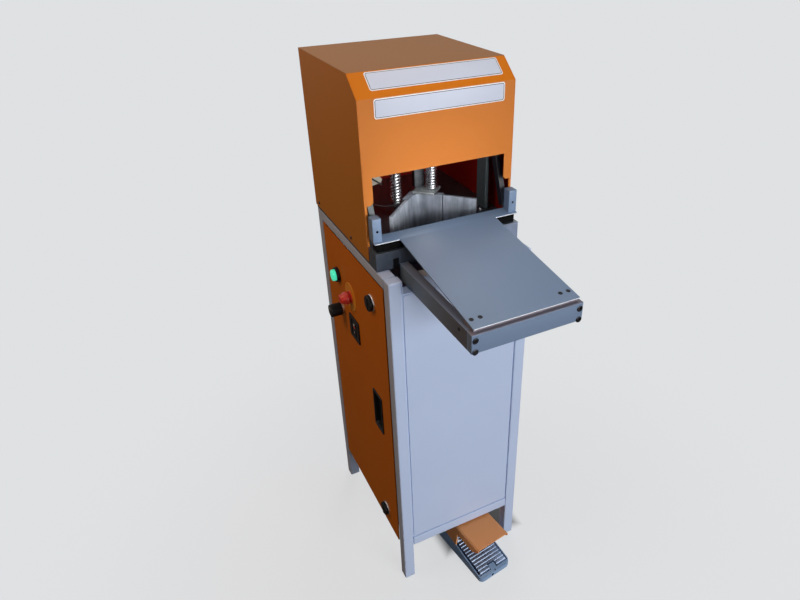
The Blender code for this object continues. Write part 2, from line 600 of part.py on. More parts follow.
def build_table(machine):
    """Sloping infeed table on its bars, with the two ears at its rear corners."""
    drop = TABLE_SHEET / math.cos(TABLE_SLOPE)
    ear_top_z = table_height(EAR_FRONT_Y) + EAR_HEIGHT
    hole_y = TABLE_FRONT_Y + TABLE_HOLE_SETBACK
    plan = [
        (-TABLE_HALF, TABLE_FRONT_Y),
        (TABLE_HALF, TABLE_FRONT_Y),
        (TABLE_HALF, TABLE_NOTCH_Y),
        (TABLE_STRIP_HALF, TABLE_NOTCH_Y),
        (TABLE_STRIP_HALF, TABLE_REAR_Y),
        (-TABLE_STRIP_HALF, TABLE_REAR_Y),
        (-TABLE_STRIP_HALF, TABLE_NOTCH_Y),
        (-TABLE_HALF, TABLE_NOTCH_Y),
    ]
    sheet = bmesh.new()
    for x, y in plan:
        sheet.verts.new((x, y, table_height(y) - drop))
    face = sheet.faces.new(list(sheet.verts))
    extruded = bmesh.ops.extrude_face_region(sheet, geom=[face])
    lifted = [item for item in extruded["geom"] if isinstance(item, bmesh.types.BMVert)]
    bmesh.ops.translate(sheet, vec=(0, 0, drop), verts=lifted)
    table = add_object("table_plate", sheet, machine, "slate_paint")
    for side_name, sign in (("left", -1), ("right", 1)):
        ear_x = (sign * (TABLE_STRIP_HALF - EAR_WIDTH), sign * TABLE_STRIP_HALF)
        foot_z = table_height(EAR_FRONT_Y) - TABLE_SHEET / 2
        ear = box_mesh(ear_x, (EAR_FRONT_Y, EAR_FRONT_Y + EAR_DEPTH), (foot_z, ear_top_z))
        cut(table, ear, "ear_" + side_name, operation="UNION")
        middle = sign * (TABLE_STRIP_HALF - EAR_WIDTH / 2)
        cut(table, cylinder_mesh(EAR_HOLE_RADIUS, -0.002, EAR_HOLE_DEPTH, "y", 12), "ear_hole_" + side_name,
            (middle, EAR_FRONT_Y, ear_top_z - EAR_HOLE_DROP))
        for number, inset in enumerate(TABLE_HOLE_INSET):
            cut(table, cylinder_mesh(TABLE_HOLE_RADIUS, -TUBE / 2, TUBE / 2, "z", 12),
                f"hole_{side_name}_{number}", (sign * (TABLE_HALF - inset), hole_y, table_height(hole_y)))
        bar_x = (sign * (BAR_OUTER - BAR_WIDTH), sign * BAR_OUTER)
        box(f"side_bar_{side_name}", bar_x, (FRONT_BAR_Y + FRONT_BAR_DEPTH + SEAT, BLOCK_FRONT_Y - SEAT),
            (BAR_Z, BAR_TOP_Z), machine, "slate_paint", 0.001)
    front_y = (FRONT_BAR_Y, FRONT_BAR_Y + FRONT_BAR_DEPTH)
    box("front_bar", (-BAR_OUTER, BAR_OUTER), front_y, (BAR_Z, BAR_TOP_Z), machine, "slate_paint", 0.001)
    wedges = (
        ("table_packer", FRONT_BAR_Y + PACKER_SETBACK, PACKER_DEPTH, BAR_TOP_Z, TABLE_HALF - 0.002),
        ("table_rest", REST_FRONT_Y, REST_DEPTH, BLOCK_TOP_Z, TABLE_STRIP_HALF - 0.006),
    )
    for name, y_low, depth, z_low, half in wedges:
        y_high = y_low + depth
        outline = [
            (y_low, z_low + SEAT),
            (y_high, z_low + SEAT),
            (y_high, table_height(y_high) - drop - SEAT),
            (y_low, table_height(y_low) - drop - SEAT),
        ]
        prism(name, outline, -half, half, "x", machine, "slate_paint")


def fence_point(reach, out=0.0):
    """A place on the fence's face at a sideways reach, moved out behind the face."""
    side = 1 if reach >= 0 else -1
    step = out / math.sqrt(2)
    return (reach + side * step, FENCE_APEX_Y - abs(reach) + step)


def build_press(machine, clamp):
    """Corner fence, forming block, clamp foot on its rod and ram, and the frame that guides them."""
    for name, start, end in (
        ("fence_left", -BLOCK_LEFT_REACH - SEAT, -FENCE_REACH),
        ("fence_right", BLOCK_RIGHT_REACH + FENCE_SPLIT, FENCE_REACH),
    ):
        outline = [fence_point(start), fence_point(end), fence_point(end, FENCE_SHEET),
                   fence_point(start, FENCE_SHEET)]
        prism(name, outline, FENCE_Z, FENCE_TOP_Z, "z", machine, "ground_steel", 0.0006)
    tangent = CORNER_RADIUS / math.sqrt(2)
    centre_y = FENCE_APEX_Y - CORNER_RADIUS * math.sqrt(2)
    outline = [fence_point(-BLOCK_LEFT_REACH)]
    arc_steps = 8
    for step in range(arc_steps + 1):
        angle = math.radians(135 - 90 * step / arc_steps)
        outline.append((CORNER_RADIUS * math.cos(angle), centre_y + CORNER_RADIUS * math.sin(angle)))
    outline.append(fence_point(BLOCK_RIGHT_REACH))
    outline.append(fence_point(BLOCK_RIGHT_REACH, FORMING_DEPTH))
    outline.append((tangent / 2, FENCE_APEX_Y + FORMING_DEPTH * math.sqrt(2) - tangent / 2))
    outline.append((-tangent / 2, FENCE_APEX_Y + FORMING_DEPTH * math.sqrt(2) - tangent / 2))
    outline.append(fence_point(-BLOCK_LEFT_REACH, FORMING_DEPTH))
    prism("forming_block", outline, FENCE_Z, FENCE_TOP_Z, "z", machine, "ground_steel")

    half = FOOT_SIDE / math.sqrt(2)
    foot_x, foot_y = FOOT_CENTRE
    diamond = [(foot_x, foot_y - half), (foot_x + half, foot_y), (foot_x, foot_y + half),
               (foot_x - half, foot_y)]
    prism("clamp_foot", diamond, FOOT_Z, FOOT_Z + FOOT_SHEET, "z", clamp, "ground_steel", 0.001)
    stand_z = FOOT_Z + FOOT_SHEET + SEAT
    rod = [(0.0, stand_z), (ROD_RADIUS, stand_z), (ROD_RADIUS, ROD_TOP_Z), (0.0, ROD_TOP_Z)]
    turned("clamp_rod", rod, "z", clamp, "bright_steel", (*MOVING_ROD, 0.0))
    box("ram_bar", RAM_X, RAM_Y, (stand_z, RAM_TOP_Z), clamp, "ground_steel", 0.001)
    post = [(0.0, FENCE_Z), (ROD_RADIUS, FENCE_Z), (ROD_RADIUS, ROD_TOP_Z), (0.0, ROD_TOP_Z)]
    turned("guide_post", post, "z", machine, "bright_steel", (*FIXED_ROD, 0.0))
    collar_low = BLOCK_TOP_Z + COLLAR_LIFT
    collar_top = collar_low + COLLAR_HEIGHT
    coil("clamp_spring", MOVING_ROD, stand_z + SEAT, CROSSHEAD_Z - SEAT, SPRING_TURNS, clamp)
    coil("guide_spring", FIXED_ROD, collar_top + SEAT, CROSSHEAD_Z - SEAT, SPRING_TURNS, machine)
    collar = [(ROD_RADIUS + SEAT, collar_low), (SPRING_RADIUS, collar_low), (SPRING_RADIUS, collar_top),
              (ROD_RADIUS + SEAT, collar_top)]
    turned("spring_collar", collar, "z", machine, "bright_steel", (*FIXED_ROD, 0.0))

    span = COLUMN_OUTER - COLUMN_SHEET - SEAT
    crosshead = box("crosshead", (-span, span), (COLUMN_Y[0], CROSSHEAD_REAR_Y),
                    (CROSSHEAD_Z, CROSSHEAD_TOP_Z), machine, "slate_paint")
    through = (CROSSHEAD_Z - CROSSHEAD_HEIGHT, CROSSHEAD_TOP_Z + CROSSHEAD_HEIGHT)
    cut(crosshead, cylinder_mesh(ROD_RADIUS + RUNNING, *through), "clamp_bore", (*MOVING_ROD, 0.0))
    cut(crosshead, cylinder_mesh(ROD_RADIUS + SEAT, *through), "post_bore", (*FIXED_ROD, 0.0))
    slot_x = (RAM_X[0] - RUNNING, RAM_X[1] + RUNNING)
    slot = box_mesh(slot_x, (RAM_Y[0] - RUNNING, RAM_Y[1] + RUNNING), through)
    cut(crosshead, slot, "ram_slot")
    foot_y = EAR_FRONT_Y + EAR_DEPTH + SEAT
    foot_z = table_height(TABLE_REAR_Y) + STAY_LIFT
    top_z = CROSSHEAD_Z - STAY_TOP_DROP
    stay = [(foot_y, foot_z), (foot_y + STAY_WIDTH, foot_z), (COLUMN_Y[0] + STAY_WIDTH, top_z),
            (COLUMN_Y[0], top_z)]
    for side_name, sign in (("left", -1), ("right", 1)):
        column_x = (sign * (COLUMN_OUTER - COLUMN_SHEET), sign * COLUMN_OUTER)
        column = box(f"column_{side_name}", column_x, COLUMN_Y, (FENCE_Z, CROSSHEAD_TOP_Z + COLUMN_STANDOUT),
                     machine, "slate_paint")
        stay_x = (sign * (COLUMN_OUTER - COLUMN_SHEET / 4), sign * (COLUMN_OUTER + STAY_SHEET))
        slant = prism_mesh(stay, *stay_x, "x")
        cut(column, slant, "stay", operation="UNION")


def coil(name, place, low, high, turns, parent):
    """A compression spring: a ring of wire points carried up a helix whose end turns lie closed."""
    per_turn = 10
    wire_sides = 5
    count = turns * per_turn
    rise = high - low - 2 * SPRING_WIRE
    open_pitch = (rise - 2 * SPRING_PITCH_SHUT) / (turns - 2)

    def height(step):
        """Height of the wire's middle: one closed turn, then the open ones, then a closed one."""
        done = step / per_turn
        shut = min(done, 1.0) + max(done - (turns - 1), 0.0)
        return shut * SPRING_PITCH_SHUT + (done - shut) * open_pitch

    shape = bmesh.new()
    rings = []
    for step in range(count + 1):
        angle = math.tau * step / per_turn
        centre = Vector((SPRING_RADIUS * math.cos(angle), SPRING_RADIUS * math.sin(angle),
                         low + SPRING_WIRE + height(step)))
        outward = Vector((math.cos(angle), math.sin(angle), 0.0))
        ring = []
        for side in range(wire_sides):
            turn = math.tau * side / wire_sides
            offset = outward * math.cos(turn) + Vector((0, 0, math.sin(turn)))
            ring.append(shape.verts.new(centre + offset * SPRING_WIRE))
        rings.append(ring)
    for lower, upper in zip(rings, rings[1:]):
        for side in range(wire_sides):
            after = (side + 1) % wire_sides
            shape.faces.new((lower[side], lower[after], upper[after], upper[side]))
    shape.faces.new(rings[0])
    shape.faces.new(rings[-1])
    return add_object(name, shape, parent, "bright_steel", (*place, 0.0))


def build_door(door, start, stop, knob, latches):
    """The orange side door with everything mounted on it.  Its parent stands on the hinge axis."""
    axis_x, axis_y = DOOR_AXIS

    def local(y, z, out=0.0):
        """Place on the door's outer face, in the frame of the hinge axis."""
        return (DOOR_X - out - axis_x, y - axis_y, z)

    face_x = DOOR_X - axis_x
    panel = box("side_door", (face_x, face_x + PANEL_SHEET), (DOOR_FRONT_Y - axis_y, DOOR_REAR_Y - axis_y),
                (BOTTOM_RAIL_Z, DOOR_TOP_Z), door, "orange_paint")
    barrel_low = BOTTOM_RAIL_Z
    barrel_high = SIDE_RAIL_Z - SEAT
    barrel = [
        (0.0, barrel_low - DOOR_PIN_DEPTH),
        (DOOR_PIN_RADIUS, barrel_low - DOOR_PIN_DEPTH),
        (DOOR_PIN_RADIUS, barrel_low),
        (DOOR_BARREL_RADIUS, barrel_low),
        (DOOR_BARREL_RADIUS, barrel_high),
        (DOOR_PIN_RADIUS, barrel_high),
        (DOOR_PIN_RADIUS, barrel_high + DOOR_PIN_DEPTH),
        (0.0, barrel_high + DOOR_PIN_DEPTH),
    ]
    cut(panel, turned_mesh(barrel, "z"), "barrel", operation="UNION")

    pull_y = PULL_PLACE[0] - axis_y
    pull_z = PULL_PLACE[1]

    def pull_outline(inset):
        """The pull's rounded outline on the door's face, drawn in by an inset."""
        tall = PULL_HEIGHT / 2 - inset
        return moved(rounded_rectangle(PULL_WIDTH / 2 - inset, -tall, tall, PULL_CORNER), pull_y, pull_z)

    cup_inset = PULL_FLANGE * 2
    deep = PULL_RECESS
    cut(panel, prism_mesh(pull_outline(cup_inset - SEAT), face_x - deep, face_x + deep, "x"), "pull_hole")
    pull = prism("door_pull", pull_outline(0.0), face_x - PULL_FLANGE, face_x - SEAT, "x", door,
                 "black_plastic")
    cut(pull, prism_mesh(pull_outline(cup_inset), face_x - PULL_FLANGE / 2, face_x + deep, "x"), "cup",
        operation="UNION")
    cut(pull, prism_mesh(pull_outline(cup_inset + PULL_WALL), face_x - deep, face_x + deep - PULL_WALL, "x"),
        "hollow")

    half = SWITCH_SIZE / 2
    switch_y = SWITCH_PLACE[0] - axis_y
    switch_z = SWITCH_PLACE[1]
    switch = box("power_switch", (face_x - SWITCH_HEIGHT, face_x - SEAT), (switch_y - half, switch_y + half),
                 (switch_z - half, switch_z + half), door, "black_plastic", 0.0015)
    rocker_y = SWITCH_ROCKER[0] / 2
    rocker_z = SWITCH_ROCKER[1] / 2
    window = box_mesh((face_x - half, face_x - SWITCH_HEIGHT / 2), (switch_y - rocker_y, switch_y + rocker_y),
                      (switch_z - rocker_z, switch_z + rocker_z))
    cut(switch, window, "window")

    bore = START_LENS_RADIUS + RUNNING
    edge = 0.002
    bezel = [(bore, SEAT), (START_BEZEL_RADIUS, SEAT), (START_BEZEL_RADIUS, START_BEZEL_HEIGHT - edge),
             (START_BEZEL_RADIUS - edge, START_BEZEL_HEIGHT), (bore, START_BEZEL_HEIGHT)]
    turned("start_bezel", bezel, "-x", door, "black_plastic", local(*START_PLACE))
    lens = [(0.0, START_TRAVEL + SEAT * 2), (START_LENS_RADIUS, START_TRAVEL + SEAT * 2),
            (START_LENS_RADIUS, START_LENS_HEIGHT - edge), (START_LENS_RADIUS - edge, START_LENS_HEIGHT),
            (0.0, START_LENS_HEIGHT)]
    turned("start_button", lens, "-x", start, "green_lens", (0.0, 0.0, 0.0))

    neck_bore = STOP_NECK_RADIUS + RUNNING
    wall = STOP_NECK_RADIUS + PANEL_SHEET
    ring = [(neck_bore, SEAT), (STOP_RING_RADIUS, SEAT), (STOP_RING_RADIUS, STOP_RING_HEIGHT),
            (wall, STOP_RING_HEIGHT), (wall, STOP_COLLAR_HEIGHT), (neck_bore, STOP_COLLAR_HEIGHT)]
    turned("stop_ring", ring, "-x", door, "yellow_plastic", local(*STOP_PLACE), 32)
    head = [(0.0, STOP_TRAVEL + SEAT * 2), (STOP_NECK_RADIUS, STOP_TRAVEL + SEAT * 2),
            (STOP_NECK_RADIUS, STOP_HEAD_LOW)]
    dome_steps = 6
    for step in range(dome_steps + 1):
        share = step / dome_steps
        round_off = math.cos(share * math.pi / 2)
        head.append((STOP_NOSE_RADIUS + (STOP_HEAD_RADIUS - STOP_NOSE_RADIUS) * round_off,
                     STOP_HEAD_LOW + (STOP_STAND - STOP_HEAD_LOW) * share))
    head.append((0.0, STOP_STAND))
    turned("stop_button", head, "-x", stop, "red_plastic", (0.0, 0.0, 0.0))

    collar = [(0.0, SEAT), (KNOB_COLLAR_RADIUS, SEAT), (KNOB_COLLAR_RADIUS, KNOB_COLLAR_HEIGHT),
              (0.0, KNOB_COLLAR_HEIGHT)]
    turned("regulator_collar", collar, "-x", door, "bright_steel", local(*KNOB_PLACE))
    knob_low = KNOB_COLLAR_HEIGHT + RUNNING * 2
    knob_high = knob_low + KNOB_HEIGHT
    grip = [(0.0, knob_low), (KNOB_RADIUS, knob_low), (KNOB_RADIUS, knob_high - edge),
            (KNOB_RADIUS - edge, knob_high), (0.0, knob_high)]
    turned("regulator_knob", grip, "-x", knob, "black_plastic", (0.0, 0.0, 0.0), KNOB_FLUTES * 4,
           KNOB_FLUTE_DEPTH)

    for name, latch in latches.items():
        disc = [(0.0, RUNNING), (LATCH_RADIUS, RUNNING), (LATCH_RADIUS, LATCH_HEIGHT - edge * 2),
                (LATCH_RADIUS - edge * 2, LATCH_HEIGHT), (0.0, LATCH_HEIGHT)]
        turned(name, disc, "-x", latch, "black_plastic", (0.0, 0.0, 0.0))


def rim_height(y):
    """Height of the pedal's rim at a place along it."""
    return PEDAL_FRONT_Z + y * PEDAL_SLOPE


def build_pedal(pedal, tread_pivot):
    """Foot pedal on the floor: cast tray, ribbed tread hinged at the heel, guard over the toe."""
    high = GUARD_TOP_Z
    wide = PEDAL_WIDTH
    far = PEDAL_LENGTH + TUBE
    corners = [(-PEDAL_HALF, 0.0), (PEDAL_HALF, 0.0), (PEDAL_HALF, PEDAL_LENGTH), (-PEDAL_HALF, PEDAL_LENGTH)]
    plan = folded(corners, [*PEDAL_CORNERS, PEDAL_CHEEK, PEDAL_CHEEK])
    base = prism("pedal_base", plan, 0.0, high, "z", pedal, "cast_alloy")
    above = [(-TUBE, rim_height(-TUBE)), (far, rim_height(far)), (far, high + TUBE), (-TUBE, high + TUBE)]
    cut(base, prism_mesh(above, -wide, wide, "x"), "rim")
    lug_end = PEDAL_APRON + PEDAL_LUG_LENGTH
    tray_end = PEDAL_LENGTH - PEDAL_CHEEK
    tray = [
        (PEDAL_LUG_HALF, PEDAL_APRON), (PEDAL_INNER, PEDAL_APRON), (PEDAL_INNER, tray_end),
        (-PEDAL_INNER, tray_end), (-PEDAL_INNER, PEDAL_APRON), (-PEDAL_LUG_HALF, PEDAL_APRON),
        (-PEDAL_LUG_HALF, lug_end), (PEDAL_LUG_HALF, lug_end),
    ]
    cut(base, prism_mesh(tray, PEDAL_FLOOR, high + TUBE, "z"), "tray")
    apron_hole = cylinder_mesh(PEDAL_HOLE_RADIUS, PEDAL_FLOOR, high, sides=12)
    cut(base, apron_hole, "apron_hole", (0.0, PEDAL_HOLE_Y, 0.0))
    pin_reach = PEDAL_INNER + PEDAL_CHEEK / 2
    hole = cylinder_mesh(TREAD_PIN_RADIUS + RUNNING, -pin_reach - SEAT, pin_reach + SEAT, "-x", 16)
    cut(base, hole, "pin_hole", (0.0, TREAD_PIN_Y, TREAD_PIN_Z))

    def tread_point(y, lift):
        """A place above the tread's underside, in the frame of the pin."""
        return (y - TREAD_PIN_Y, rim_height(y) + TREAD_PROUD - TREAD_SHEET + lift - TREAD_PIN_Z)

    outline = [tread_point(TREAD_FRONT_Y, 0.0), tread_point(TREAD_END_Y, 0.0)]
    pitch = (TREAD_END_Y - TREAD_FRONT_Y) / TREAD_RIBS
    for number in reversed(range(TREAD_RIBS)):
        near = TREAD_FRONT_Y + pitch * number
        for share, rib in ((1.0, 0.0), (0.85, TREAD_RIB_HEIGHT), (0.35, TREAD_RIB_HEIGHT), (0.2, 0.0)):
            outline.append(tread_point(near + pitch * share, TREAD_SHEET + rib))
    outline.append(tread_point(TREAD_FRONT_Y, TREAD_SHEET))
    tread = prism("foot_tread", outline, -TREAD_HALF, TREAD_HALF, "x", tread_pivot, "cast_alloy")
    notch_half = PEDAL_LUG_HALF + TREAD_LUG_GAP
    notch_end = lug_end + TREAD_LUG_GAP - TREAD_PIN_Y
    cut(tread, box_mesh((-notch_half, notch_half), (-PEDAL_APRON, notch_end), (-TUBE, TUBE)), "notch")
    pin = cylinder_mesh(TREAD_PIN_RADIUS, -pin_reach, pin_reach, "-x", 16)
    cut(tread, pin, "pin", operation="UNION")

    def guard_outline(inset):
        """Cross-section of the guard, drawn in by an inset."""
        half = PEDAL_HALF - inset
        top = GUARD_TOP_Z - inset
        slope = GUARD_CHAMFER - inset * (2 - math.sqrt(2))
        return [(-half, -inset), (-half, top - slope), (-half + slope, top), (half - slope, top),
                (half, top - slope), (half, -inset)]

    guard = prism("pedal_guard", guard_outline(0.0), GUARD_FRONT_Y, PEDAL_LENGTH, "y", pedal, "orange_paint")
    cut(guard, prism_mesh(guard_outline(GUARD_SHEET), 0.0, PEDAL_LENGTH - GUARD_SHEET, "y"), "inside")
    under = [(-TUBE, -TUBE), (far, -TUBE), (far, rim_height(far) + SEAT), (-TUBE, rim_height(-TUBE) + SEAT)]
    cut(guard, prism_mesh(under, -wide, wide, "x"), "rim_seat")
    lip_z = GUARD_TOP_Z - GUARD_CHAMFER - GUARD_LIP
    high_y, low_y = GUARD_WALL_Y
    skirt_z = GUARD_TOP_Z - GUARD_SKIRT
    front = [(0.0, -TUBE), (low_y, -TUBE), (low_y, rim_height(low_y)), (high_y, skirt_z),
             (GUARD_SKIRT_Y, skirt_z), (GUARD_FRONT_Y, lip_z), (0.0, lip_z)]
    cut(guard, prism_mesh(front, -wide, wide, "x"), "open_front")


def build_machine():
    clear_scene()
    machine = add_pivot("machine_origin", None, (-CENTRE_X, -CENTRE_Y, 0.0))
    clamp = add_pivot("clamp_slide", machine)
    door = add_pivot("door_hinge", machine, (*DOOR_AXIS, 0.0))

    def on_door(name, place):
        return add_pivot(name, door, (DOOR_X - DOOR_AXIS[0], place[0] - DOOR_AXIS[1], place[1]))

    start = on_door("start_slide", START_PLACE)
    stop = on_door("stop_slide", STOP_PLACE)
    knob = on_door("regulator_axis", KNOB_PLACE)
    latches = {name: on_door(name + "_axis", place) for name, place in LATCH_PLACES.items()}
    pedal = add_pivot("pedal_place", machine, (*PEDAL_FRONT, 0.0), PEDAL_TURN)
    tread_pivot = add_pivot("tread_hinge", pedal, (0.0, TREAD_PIN_Y, TREAD_PIN_Z))
    build_frame(machine)
    build_panels(machine)
    build_hood(machine)
    build_table(machine)
    build_press(machine, clamp)
    build_door(door, start, stop, knob, latches)
    build_pedal(pedal, tread_pivot)


build_machine()
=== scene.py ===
# %% [markdown]
# # Case corner rounding machine
#
# A carton or book case is laid on the sloping table, pushed into the V of the fence, and a sprung
# foot holds it while its corner is pressed round a steel block. The cells below dress the packed
# solid model: each one says what the real piece is, what it is made of and why its surface is
# built the way it is. Every length is in metres.

import math

import bmesh
import bpy
import numpy as np
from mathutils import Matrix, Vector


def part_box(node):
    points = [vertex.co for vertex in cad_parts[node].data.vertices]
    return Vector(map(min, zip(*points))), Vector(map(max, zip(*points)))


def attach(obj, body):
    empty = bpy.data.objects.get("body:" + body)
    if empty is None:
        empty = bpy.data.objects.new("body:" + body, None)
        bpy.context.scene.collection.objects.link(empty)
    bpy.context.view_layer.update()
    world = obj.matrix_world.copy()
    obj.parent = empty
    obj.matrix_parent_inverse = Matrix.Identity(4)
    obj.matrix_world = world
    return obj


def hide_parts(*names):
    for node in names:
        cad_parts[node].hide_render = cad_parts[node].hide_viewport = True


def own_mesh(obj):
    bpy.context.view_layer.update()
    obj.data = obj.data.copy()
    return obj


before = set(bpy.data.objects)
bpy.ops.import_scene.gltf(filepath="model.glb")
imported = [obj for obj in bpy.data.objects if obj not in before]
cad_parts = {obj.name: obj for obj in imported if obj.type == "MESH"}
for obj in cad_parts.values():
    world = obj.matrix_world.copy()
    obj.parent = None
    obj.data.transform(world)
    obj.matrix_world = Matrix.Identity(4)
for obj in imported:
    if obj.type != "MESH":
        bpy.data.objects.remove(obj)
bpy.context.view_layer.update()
print("nodes in the frame:", len(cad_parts))

# %% [markdown]
# ## One origin for every piece
#
# All places below are measured from the foot of the cabinet's front face, on its centre plane, with
# +X to the machine's right, +Y to its back and +Z up. The left front post stands with its outer
# face half a cabinet width from that plane, which gives the shift into the frame's own numbers.

# %% Shared sizes
CABINET_HALF = 0.18
DOOR_FACE_X = -0.18
BLOCK_TOP = 0.9753 + 0.0425
TABLE_SLOPE = math.radians(8.0)
TABLE_FRONT = (-0.253, 0.9954)      # its front edge as (y, z)
post_low, post_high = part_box("post_front_left")
ORIGIN = np.array([post_low[0] + CABINET_HALF, post_low[1], 0.0])
RIGHT = np.array([1.0, 0.0, 0.0])
BACK = np.array([0.0, 1.0, 0.0])
UP = np.array([0.0, 0.0, 1.0])
print("origin of the design in the frame:", np.round(ORIGIN, 4))


def unit(vector):
    """A vector made one long: v / |v|."""
    return np.asarray(vector, float) / np.linalg.norm(vector)


# %% [markdown]
# ## Surfaces as functions
#
# A real part is turned, folded, ground or cast, and nearly all of those shapes are a closed outline
# carried along something: a profile round an axis, an outline along a straight line, a circle along
# a wire. So one mesh maker takes a stack of rings, an array of shape (rings, points, 3), joins
# neighbouring rings with four-sided faces and closes the first and last ring with one face each.

# %% Rings to mesh
SHARP = math.radians(35.0)


def ring_quads(count, around):
    """Quads (i, j), (i, j+1), (i+1, j+1), (i+1, j) from ring i to the next, modulo count and around."""
    i = np.arange(count)[:, None]
    j = np.arange(around)[None, :]
    k = (j + 1) % around
    n = (i + 1) % count
    return np.stack([i * around + j, i * around + k, n * around + k, n * around + j], -1)


def stack(rings):
    """(points, faces) of a stack of rings with closed ends: no quads lead from the last ring to the first."""
    rings = np.asarray(rings, float)
    count, around = rings.shape[:2]
    quads = ring_quads(count, around)[:-1].reshape(-1, 4).tolist()
    first = np.arange(around)[::-1]
    last = np.arange(around) + (count - 1) * around
    return rings.reshape(-1, 3), quads + [first.tolist(), last.tolist()]


def hoop(rings):
    """(points, faces) of rings that come back to the first one, like a frame with a hole in it."""
    rings = np.asarray(rings, float)
    return rings.reshape(-1, 3), ring_quads(*rings.shape[:2]).reshape(-1, 4).tolist()


def add(name, data):
    """A new object in the scene."""
    item = bpy.data.objects.new(name, data)
    bpy.context.scene.collection.objects.link(item)
    return item


def make(name, parts, material, body="machine", replaces=()):
    """One object from (points, faces) parts: faces turned outwards, smooth but for edges over SHARP."""
    points = []
    faces = []
    start = 0
    for part_points, part_faces in parts:
        points.append(np.asarray(part_points, float) + ORIGIN)
        faces.extend([[start + index for index in face] for face in part_faces])
        start += len(part_points)
    mesh = bpy.data.meshes.new(name)
    mesh.from_pydata(np.concatenate(points).tolist(), [], faces)
    solid = bmesh.new()
    solid.from_mesh(mesh)
    bmesh.ops.recalc_face_normals(solid, faces=solid.faces)
    solid.to_mesh(mesh)
    solid.free()
    mesh.shade_smooth()
    mesh.set_sharp_from_angle(angle=SHARP)
    mesh.materials.append(material)
    piece = add(name, mesh)
    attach(piece, body)
    if replaces:
        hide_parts(*replaces)
    return piece


# %% [markdown]
# ## Outlines
#
# Folded and milled edges are never sharp: a press brake leaves a radius near the sheet's thickness
# and a milled edge is broken by a file. `rounded` puts a true arc on every corner of a polygon, and
# `inset` moves an outline inwards by a constant distance, which is what a bevel does to it.

# %% Outlines and bevels
def rounded(corners, radius, steps=6):
    """Polygon corners replaced by arcs. A corner p has sides along u and v, and h is half the angle between:
    the centre is p + (u+v)/|u+v| * r/sin(h), and the arc runs from p + u*r/tan(h) to p + v*r/tan(h)."""
    p = np.asarray(corners, float)
    r = np.broadcast_to(np.asarray(radius, float), (len(p),))[:, None]
    u = np.roll(p, 1, 0) - p
    v = np.roll(p, -1, 0) - p
    u /= np.linalg.norm(u, axis=1, keepdims=True)
    v /= np.linalg.norm(v, axis=1, keepdims=True)
    half = np.arccos(np.clip((u * v).sum(1, keepdims=True), -1, 1)) / 2
    middle = u + v
    middle /= np.linalg.norm(middle, axis=1, keepdims=True)
    centre = p + middle * r / np.sin(half)
    a = p + u * r / np.tan(half) - centre
    b = p + v * r / np.tan(half) - centre
    sweep_angle = np.pi - 2 * half
    s = np.linspace(0, 1, steps)[None, :, None]
    angle = sweep_angle[:, :, None]
    arc = (np.sin((1 - s) * angle) * a[:, None] + np.sin(s * angle) * b[:, None]) / np.sin(angle)
    return (centre[:, None] + arc).reshape(-1, 2)


def rectangle(width, height, centre=(0.0, 0.0)):
    """Corners of a rectangle, anticlockwise."""
    x, y = width / 2, height / 2
    return np.array([[-x, -y], [x, -y], [x, y], [-x, y]]) + np.asarray(centre)


def inset(outline, distance):
    """Outline moved inwards: p - (n0 + n1) / (1 + n0.n1) * distance, n0 and n1 the two edges' normals."""
    p = np.asarray(outline, float)
    area = np.sum(p[:, 0] * np.roll(p[:, 1], -1) - np.roll(p[:, 0], -1) * p[:, 1])
    edge = np.roll(p, -1, 0) - p
    normal = np.stack([edge[:, 1], -edge[:, 0]], 1) * np.sign(area)
    normal /= np.linalg.norm(normal, axis=1, keepdims=True)
    before = np.roll(normal, 1, 0)
    miter = (before + normal) / (1 + (before * normal).sum(1, keepdims=True))
    return p - miter * distance


def lifted(outline, height):
    """A flat outline as 3-D points at one height."""
    return np.column_stack([outline, np.full(len(outline), height)])


def slab(outline, low, high, edge=0.0005, steps=3):
    """Outline carried from low to high, both rims rounded: inset e(1-sin a) at e(1-cos a) from each end."""
    a = np.linspace(0, np.pi / 2, steps + 1)
    insets = edge * (1 - np.sin(a))
    rises = edge * (1 - np.cos(a))
    lower = [lifted(inset(outline, i), low + r) for i, r in zip(insets, rises)]
    upper = [lifted(inset(outline, i), high - r) for i, r in zip(insets[::-1], rises[::-1])]
    return stack(lower + upper)


def window_slab(outer, inner, low, high, edge=0.0004):
    """A plate with a hole: outlines outer low, outer high, inner high and inner low, with broken edges."""
    rings = [
        lifted(inset(outer, edge), low), lifted(outer, low + edge),
        lifted(outer, high - edge), lifted(inset(outer, edge), high),
        lifted(inset(inner, -edge), high), lifted(inner, high - edge),
        lifted(inner, low + edge), lifted(inset(inner, -edge), low),
    ]
    return hoop(rings)


def posed(part, origin, side, out):
    """A part in its place: origin + x*side + y*(out x side) + z*out for each of its points (x, y, z)."""
    points, faces = part
    side = np.asarray(side, float)
    out = np.asarray(out, float)
    across = np.cross(out, side)
    placed = np.asarray(origin) + points[:, 0:1] * side + points[:, 1:2] * across + points[:, 2:3] * out
    return placed, faces


def crosswise(view, half):
    """A side view in (y, z) carried across the machine, from x = -half to x = half."""
    points, faces = slab(view, -half, half, 0.0004)
    return np.roll(points, 1, axis=1), faces


# %% [markdown]
# ## Turned parts, wires and screws
#
# Knobs, rods and caps come off a lathe, so their surface is a profile of (radius, height) turned
# about an axis. Springs and wires are a circle swept along a path. A cap screw is both: its head is
# turned, and its socket is where circles give way to a hexagon.

